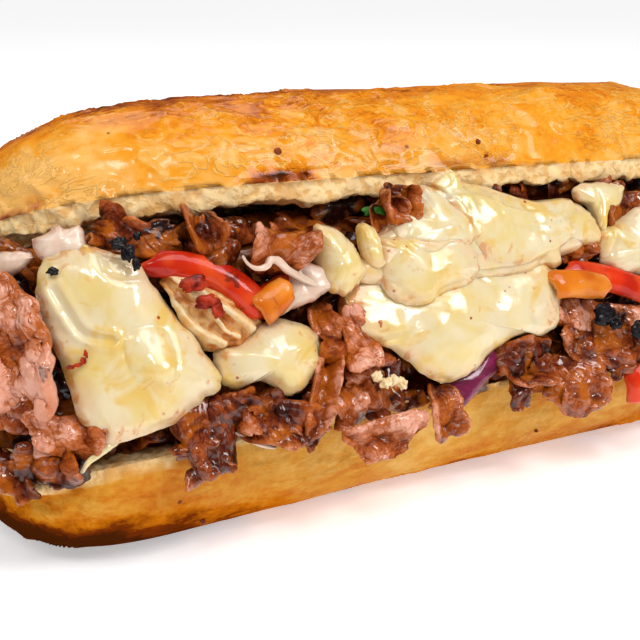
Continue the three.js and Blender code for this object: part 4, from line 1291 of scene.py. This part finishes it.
CRUMB_BITS = (
    ((-23.6, 7.9, 9.6), (1.2, 1.1, 0.9)), ((-21.9, 6.3, 9.9), (1.4, 1.1, 1.0)),
    ((-19.8, 6.6, 9.9), (1.1, 1.2, 1.0)), ((-18.1, 5.6, 9.8), (1.2, 1.3, 0.9)),
)

# Melted cheese that fills the joints between the upper slices.
BLANKET = dict(
    outline=((-24, 30), (-20, 34), (-14, 39), (-8, 43), (-2, 46), (6, 46.4), (14, 44), (24, 40), (34, 38),
             (40, 34), (39, 29), (30, 26), (20, 24), (8, 24), (-4, 25), (-16, 26)),
    depth=4.6, lean=-0.17, thick=1.6, lift=1.4, bumps=0.8)

# Melted bits between the main slices.
CHEESE_BITS = (
    dict(outline=((-20.4, 39.8), (-18.2, 40.0), (-16.5, 37.8), (-16.3, 34), (-17.2, 30.3), (-19.8, 30.6),
                  (-20.9, 34.6)),
         depth=6.0, lean=-0.1, thick=2.2, lift=1.2, bumps=0.5),
    dict(outline=((-1.0, 48.0), (3.0, 49.5), (6.0, 49.0), (8.6, 43.0), (9.6, 38.5), (6.8, 37.4),
                  (4.2, 41.0), (1.2, 44.5)),
         depth=3.8, lean=-0.1, thick=1.0, lift=0.6, bumps=0.5, taper=4),
    dict(outline=((39.2, 41.8), (43.7, 43.3), (50.3, 42.6), (55.1, 41.2), (52.7, 36.8), (47.5, 35.1),
                  (44.9, 30.3), (43.4, 32.2), (42.9, 37.1), (39.7, 39.3)),
         depth=3.0, lean=-0.1, thick=1.4, lift=0.8, bumps=0.8),
)

# Threads as a route of (along, up, out) places and the radii at its two ends.
CHEESE_THREADS = (
    (((-85.6, -1.6, 8.6), (-84.0, 0.4, 8.4), (-81.1, 2.3, 7.6), (-78.6, 3.6, 6.6), (-76.3, 5.2, 5.6)),
     (0.6, 0.9)),
)
SOFT_THREADS = (
    (((-48.6, 36.6, 8.0), (-47.8, 34.7, 8.8), (-46.2, 33.7, 9.0), (-44.3, 33.9, 9.0), (-43.0, 35.1, 8.8),
      (-41.3, 34.5, 8.2), (-39.2, 32.6, 7.4), (-36.4, 30.8, 6.8), (-32.7, 28.6, 6.2)), (0.45, 1.2)),
    (((-54.5, 1.6, 5.0), (-53.0, 0.6, 6.2), (-50.6, -1.3, 6.6), (-47.0, -2.9, 6.0)), (0.5, 0.5)),
)

# A scrap of green herb, by its corners.
HERB_LEAF = ((-17.9, 41.6, 2.0), (-12.2, 41.2, 2.2), (-12.6, 43.2, 1.4), (-17.4, 43.8, 1.2))

# Dark dots on the crusts: (along, angle round the section, radius), and how far out they reach.
DOT_DEPTH = 0.7
TOP_DOTS = ((-39.0, 0.15, 0.8), (10.5, 0.14, 0.7), (12.0, 0.05, 0.4))
BASE_DOTS = ((-59.5, 0.6, 0.6), (26.5, 0.45, 0.4))


def crust_dots():
    """Flat nuggets at the places of the dots on the plain shapes of both halves."""
    lofts = []
    for seed, dots, skin in ((TOP_DOT_SEED, TOP_DOTS, top_skin), (BASE_DOT_SEED, BASE_DOTS, base_skin)):
        for i, (x, phi, radius) in enumerate(dots):
            at = skin(np.array(x), phi)
            lofts.append(nugget(at, (radius, radius, DOT_DEPTH), seed + i, 0.2, 10, 14))
    return lofts


def small_bits(laid):
    """Charred bits, chilli, crumbs, dots on the crusts, melted bits and threads, and a herb leaf."""
    char = plain_finish("char", (0.003, 0.003, 0.004), (0.014, 0.010, 0.012), 1.5, 0.1)
    green = plain_finish("green", (0.02, 0.10, 0.012), (0.06, 0.25, 0.03), 2.0, 0.3)
    chilli = plain_finish("chilli", (0.10, 0.004, 0.003), (0.42, 0.03, 0.006), 2.4, 0.2)
    pale = plain_finish("pale_crumb", (0.74, 0.50, 0.24), (0.85, 0.68, 0.42), 2.0, 0.4)
    for name, bits, finish, slot in (
        ("char_bits", CHAR_BITS, char, "beef"),
        ("chilli_bits", CHILLI_BITS, chilli, "pepper_red"),
        ("crumb_bits", CRUMB_BITS, pale, "cheese"),
    ):
        lofts = [nugget(at, size, BIT_SEED + i, 0.4, 18, 26) for i, (at, size) in enumerate(bits)]
        make_piece(name, *joined_lofts(lofts), finish, None, slot)
    toasted = plain_finish("toasted", (0.16, 0.022, 0.006), (0.30, 0.07, 0.014), 1.5, 0.3)
    make_piece("crust_dots", *joined_lofts(crust_dots()), toasted, None, "crust")
    patches = []
    for i, bit in enumerate(CHEESE_BITS):
        patches.append(melted_patch(seed=CHEESE_BIT_SEED + i, over=laid, **bit))
    hold = {key: np.concatenate([patch[3][key] for patch in patches]) for key in ("rim", "rise")}
    make_piece("cheese_bits", *joined_lofts(patches), cheese, None, "cheese", hold)
    for name, threads, finish, slot in (
        ("cheese_threads", CHEESE_THREADS, cheese, "cheese"),
        ("soft_threads", SOFT_THREADS, onion_finishes["onion_white"], "onion_white"),
    ):
        lofts = [strand(route, radii, THREAD_SEED + i) for i, (route, radii) in enumerate(threads)]
        points, quads, tris = joined_lofts(lofts)
        make_piece(name, points, quads, tris, finish, None, slot, {"rim": np.full(len(points), 0.5)})
    points, quads, hold = sheet(HERB_LEAF, 0.7, HERB_SEED, (28, 16), dome=0.7, pucker=0.2, rim=0.2)
    make_piece("herb_leaf", points, quads, (), green, None, "pepper_red", hold)



# Floor, light and camera.

# Softboxes as name, azimuth, elevation, size and power, all as far from a point in the filling.
SOFTBOXES = (
    ("key", 30, 42, 0.26, 2.5),
    ("left", -75, 45, 0.3, 1.1),
    ("sparkle", -30, 52, 0.1, 0.9),
    ("behind", 170, 55, 0.4, 1.2),
)
LIGHT_DISTANCE = 0.8
LIGHT_TARGET = Vector((0, 0, 0.04))

# The overhead sun, the pale surround, and the floor: half its side and its faint glow.
SUN_POWER = 1.25
SUN_ANGLE_DEG = 36
SUN_FROM = Vector((0.25, -0.35, 1))
SURROUND_STRENGTH = 0.16
FLOOR_REACH = 6.0
FLOOR_GLOW = 0.44


def heading(azimuth, elevation):
    """The direction at an azimuth round from the front and an elevation, both in degrees."""
    a, e = math.radians(azimuth), math.radians(elevation)
    return Vector((math.sin(a) * math.cos(e), -math.cos(a) * math.cos(e), math.sin(e)))


def put(name, data, location, direction):
    """A lamp or camera at a location that looks along a direction."""
    thing = bpy.data.objects.new(name, data)
    thing.location = location
    thing.rotation_euler = direction.to_track_quat("-Z", "Y").to_euler()
    bpy.context.scene.collection.objects.link(thing)
    return thing


def soft_light(name, azimuth, elevation, size, power):
    """A square area light that faces the sandwich from an angle round it."""
    spot = heading(azimuth, elevation) * LIGHT_DISTANCE
    data = bpy.data.lights.new(name, "AREA")
    data.size = size
    data.energy = power
    put(name, data, spot + LIGHT_TARGET, -spot)


def studio():
    """A wide pale floor that glows faintly, a pale surround, an even overhead sun and softboxes."""
    f = Finish("floor")
    tint = f.blend(f.noise(400, 2), (0.90, 0.90, 0.90), (0.92, 0.92, 0.92))
    glow = f.blend(f.noise(400, 2), (0.98, 0.98, 0.98), (1.0, 1.0, 1.0))
    floor_finish = f.done(Base_Color=tint, Roughness=0.8, Emission_Color=glow,
                          Emission_Strength=FLOOR_GLOW, Specular_IOR_Level=0.0)
    mesh = bpy.data.meshes.new("floor")
    corners = [(p * FLOOR_REACH, q * FLOOR_REACH, 0) for p, q in SQUARE]
    mesh.from_pydata(corners, [], [(0, 1, 2, 3)])
    mesh.materials.append(floor_finish)
    floor = bpy.data.objects.new("floor", mesh)
    bpy.context.scene.collection.objects.link(floor)
    world = bpy.data.worlds.new("surround")
    world.use_nodes = True
    background = world.node_tree.nodes["Background"]
    background.inputs["Color"].default_value = (1, 1, 1, 1)
    background.inputs["Strength"].default_value = SURROUND_STRENGTH
    bpy.context.scene.world = world
    sun = bpy.data.lights.new("overhead", "SUN")
    sun.energy = SUN_POWER
    sun.angle = math.radians(SUN_ANGLE_DEG)
    lamp = bpy.data.objects.new("overhead", sun)
    lamp.rotation_euler = SUN_FROM.to_track_quat("Z", "Y").to_euler()
    bpy.context.scene.collection.objects.link(lamp)
    for softbox in SOFTBOXES:
        soft_light(*softbox)
    bpy.context.scene.view_settings.view_transform = "Standard"


def camera():
    """The view that the fitted roll was measured with."""
    back = heading(VIEW_AZIMUTH, VIEW_ELEVATION)
    data = bpy.data.cameras.new("camera")
    data.lens = LENS
    data.sensor_width = SENSOR_WIDTH
    data.clip_start = 0.01
    location = Vector(VIEW_TARGET * MM) + back * VIEW_DISTANCE * MM
    bpy.context.scene.camera = put("camera", data, location, -back)


# Building the sandwich.

crust = crust_finish("crust_top", TOP_TONES, dull=0.85, shine=0.36, creases=1.0)
# The lower half's finish: its darker tones are partly painted shade.
shaded_base_crust = crust_finish("crust_base_shaded", SHADED_BASE_TONES, dull=0.5, shine=0.25, creases=0.3)
beef = beef_finish()
cheese = cheese_finish()
pepper_finishes = {name: pepper_finish(name, *tones) for name, tones in PEPPER_TONES.items()}
onion_finishes = {name: onion_finish(name, *tones) for name, tones in ONION_TONES.items()}
web = web_finish()

roll_bottom(shaded_base_crust)
roll_top(crust)
roll_hinge(crust)

laid = []
blanket = melted_patch(seed=BLANKET_SEED, over=laid, **BLANKET)
make_piece("cheese_blanket", *blanket[:3], cheese, None, "cheese", blanket[3])
for i, (name, patch) in enumerate(CHEESE.items()):
    points, quads, tris, hold = melted_patch(seed=CHEESE_SEED + i, over=laid, **patch)
    make_piece(name + "_melted", points, quads, tris, cheese, name, "cheese", hold)

for i, (name, strip) in enumerate(PEPPERS.items()):
    points, quads, hold = sheet(seed=PEPPER_SEED + i, cells=STRIP_CELLS, pucker=0.1, rim=0.1, ragged=0.03,
                                **strip)
    kind = name.rsplit("_", 1)[0]
    make_piece(name + "_strip", points, quads, (), pepper_finishes[kind], name, kind, hold)

for i, (name, strip) in enumerate(ONIONS.items()):
    points, quads, tris, hold = melted_patch(seed=ONION_SEED + i, rings=30, sides=110, **strip)
    kind = name.rsplit("_", 1)[0]
    finish = web if name == "onion_white_low" else onion_finishes[kind]
    make_piece(name + "_soft", points, quads, tris, finish, name, kind, hold)

for i, slice_shape in enumerate(BEEF):
    name = f"beef_slice_{i + 1:02d}"
    shape = dict(slice_shape)
    seed = BEEF_SEED + i
    loose = ribbons(seed, shape["cook"], shape["corners"], shape.pop("loose", RIBBONS))
    points, quads, hold = join([beef_sheet(seed, cells=SLICE_CELLS, **shape)] + loose)
    make_piece(name + "_torn", points, quads, (), beef, name, "beef", hold)

small_bits(laid)

points, quads, hold = join(heap_shreds())
make_piece("heap_shreds", points, quads, (), beef, "beef_heap", "beef", hold)
points, quads, tris = heap_core()
# Near black: painted shade for the deep gaps behind the slices.
hold = {"rim": np.full(len(points), 1.0), "cook": np.full(len(points), 1.4), "grain": points}
make_piece("heap_core", points, quads, tris, beef, "beef_heap", "beef", hold)

studio()
camera()
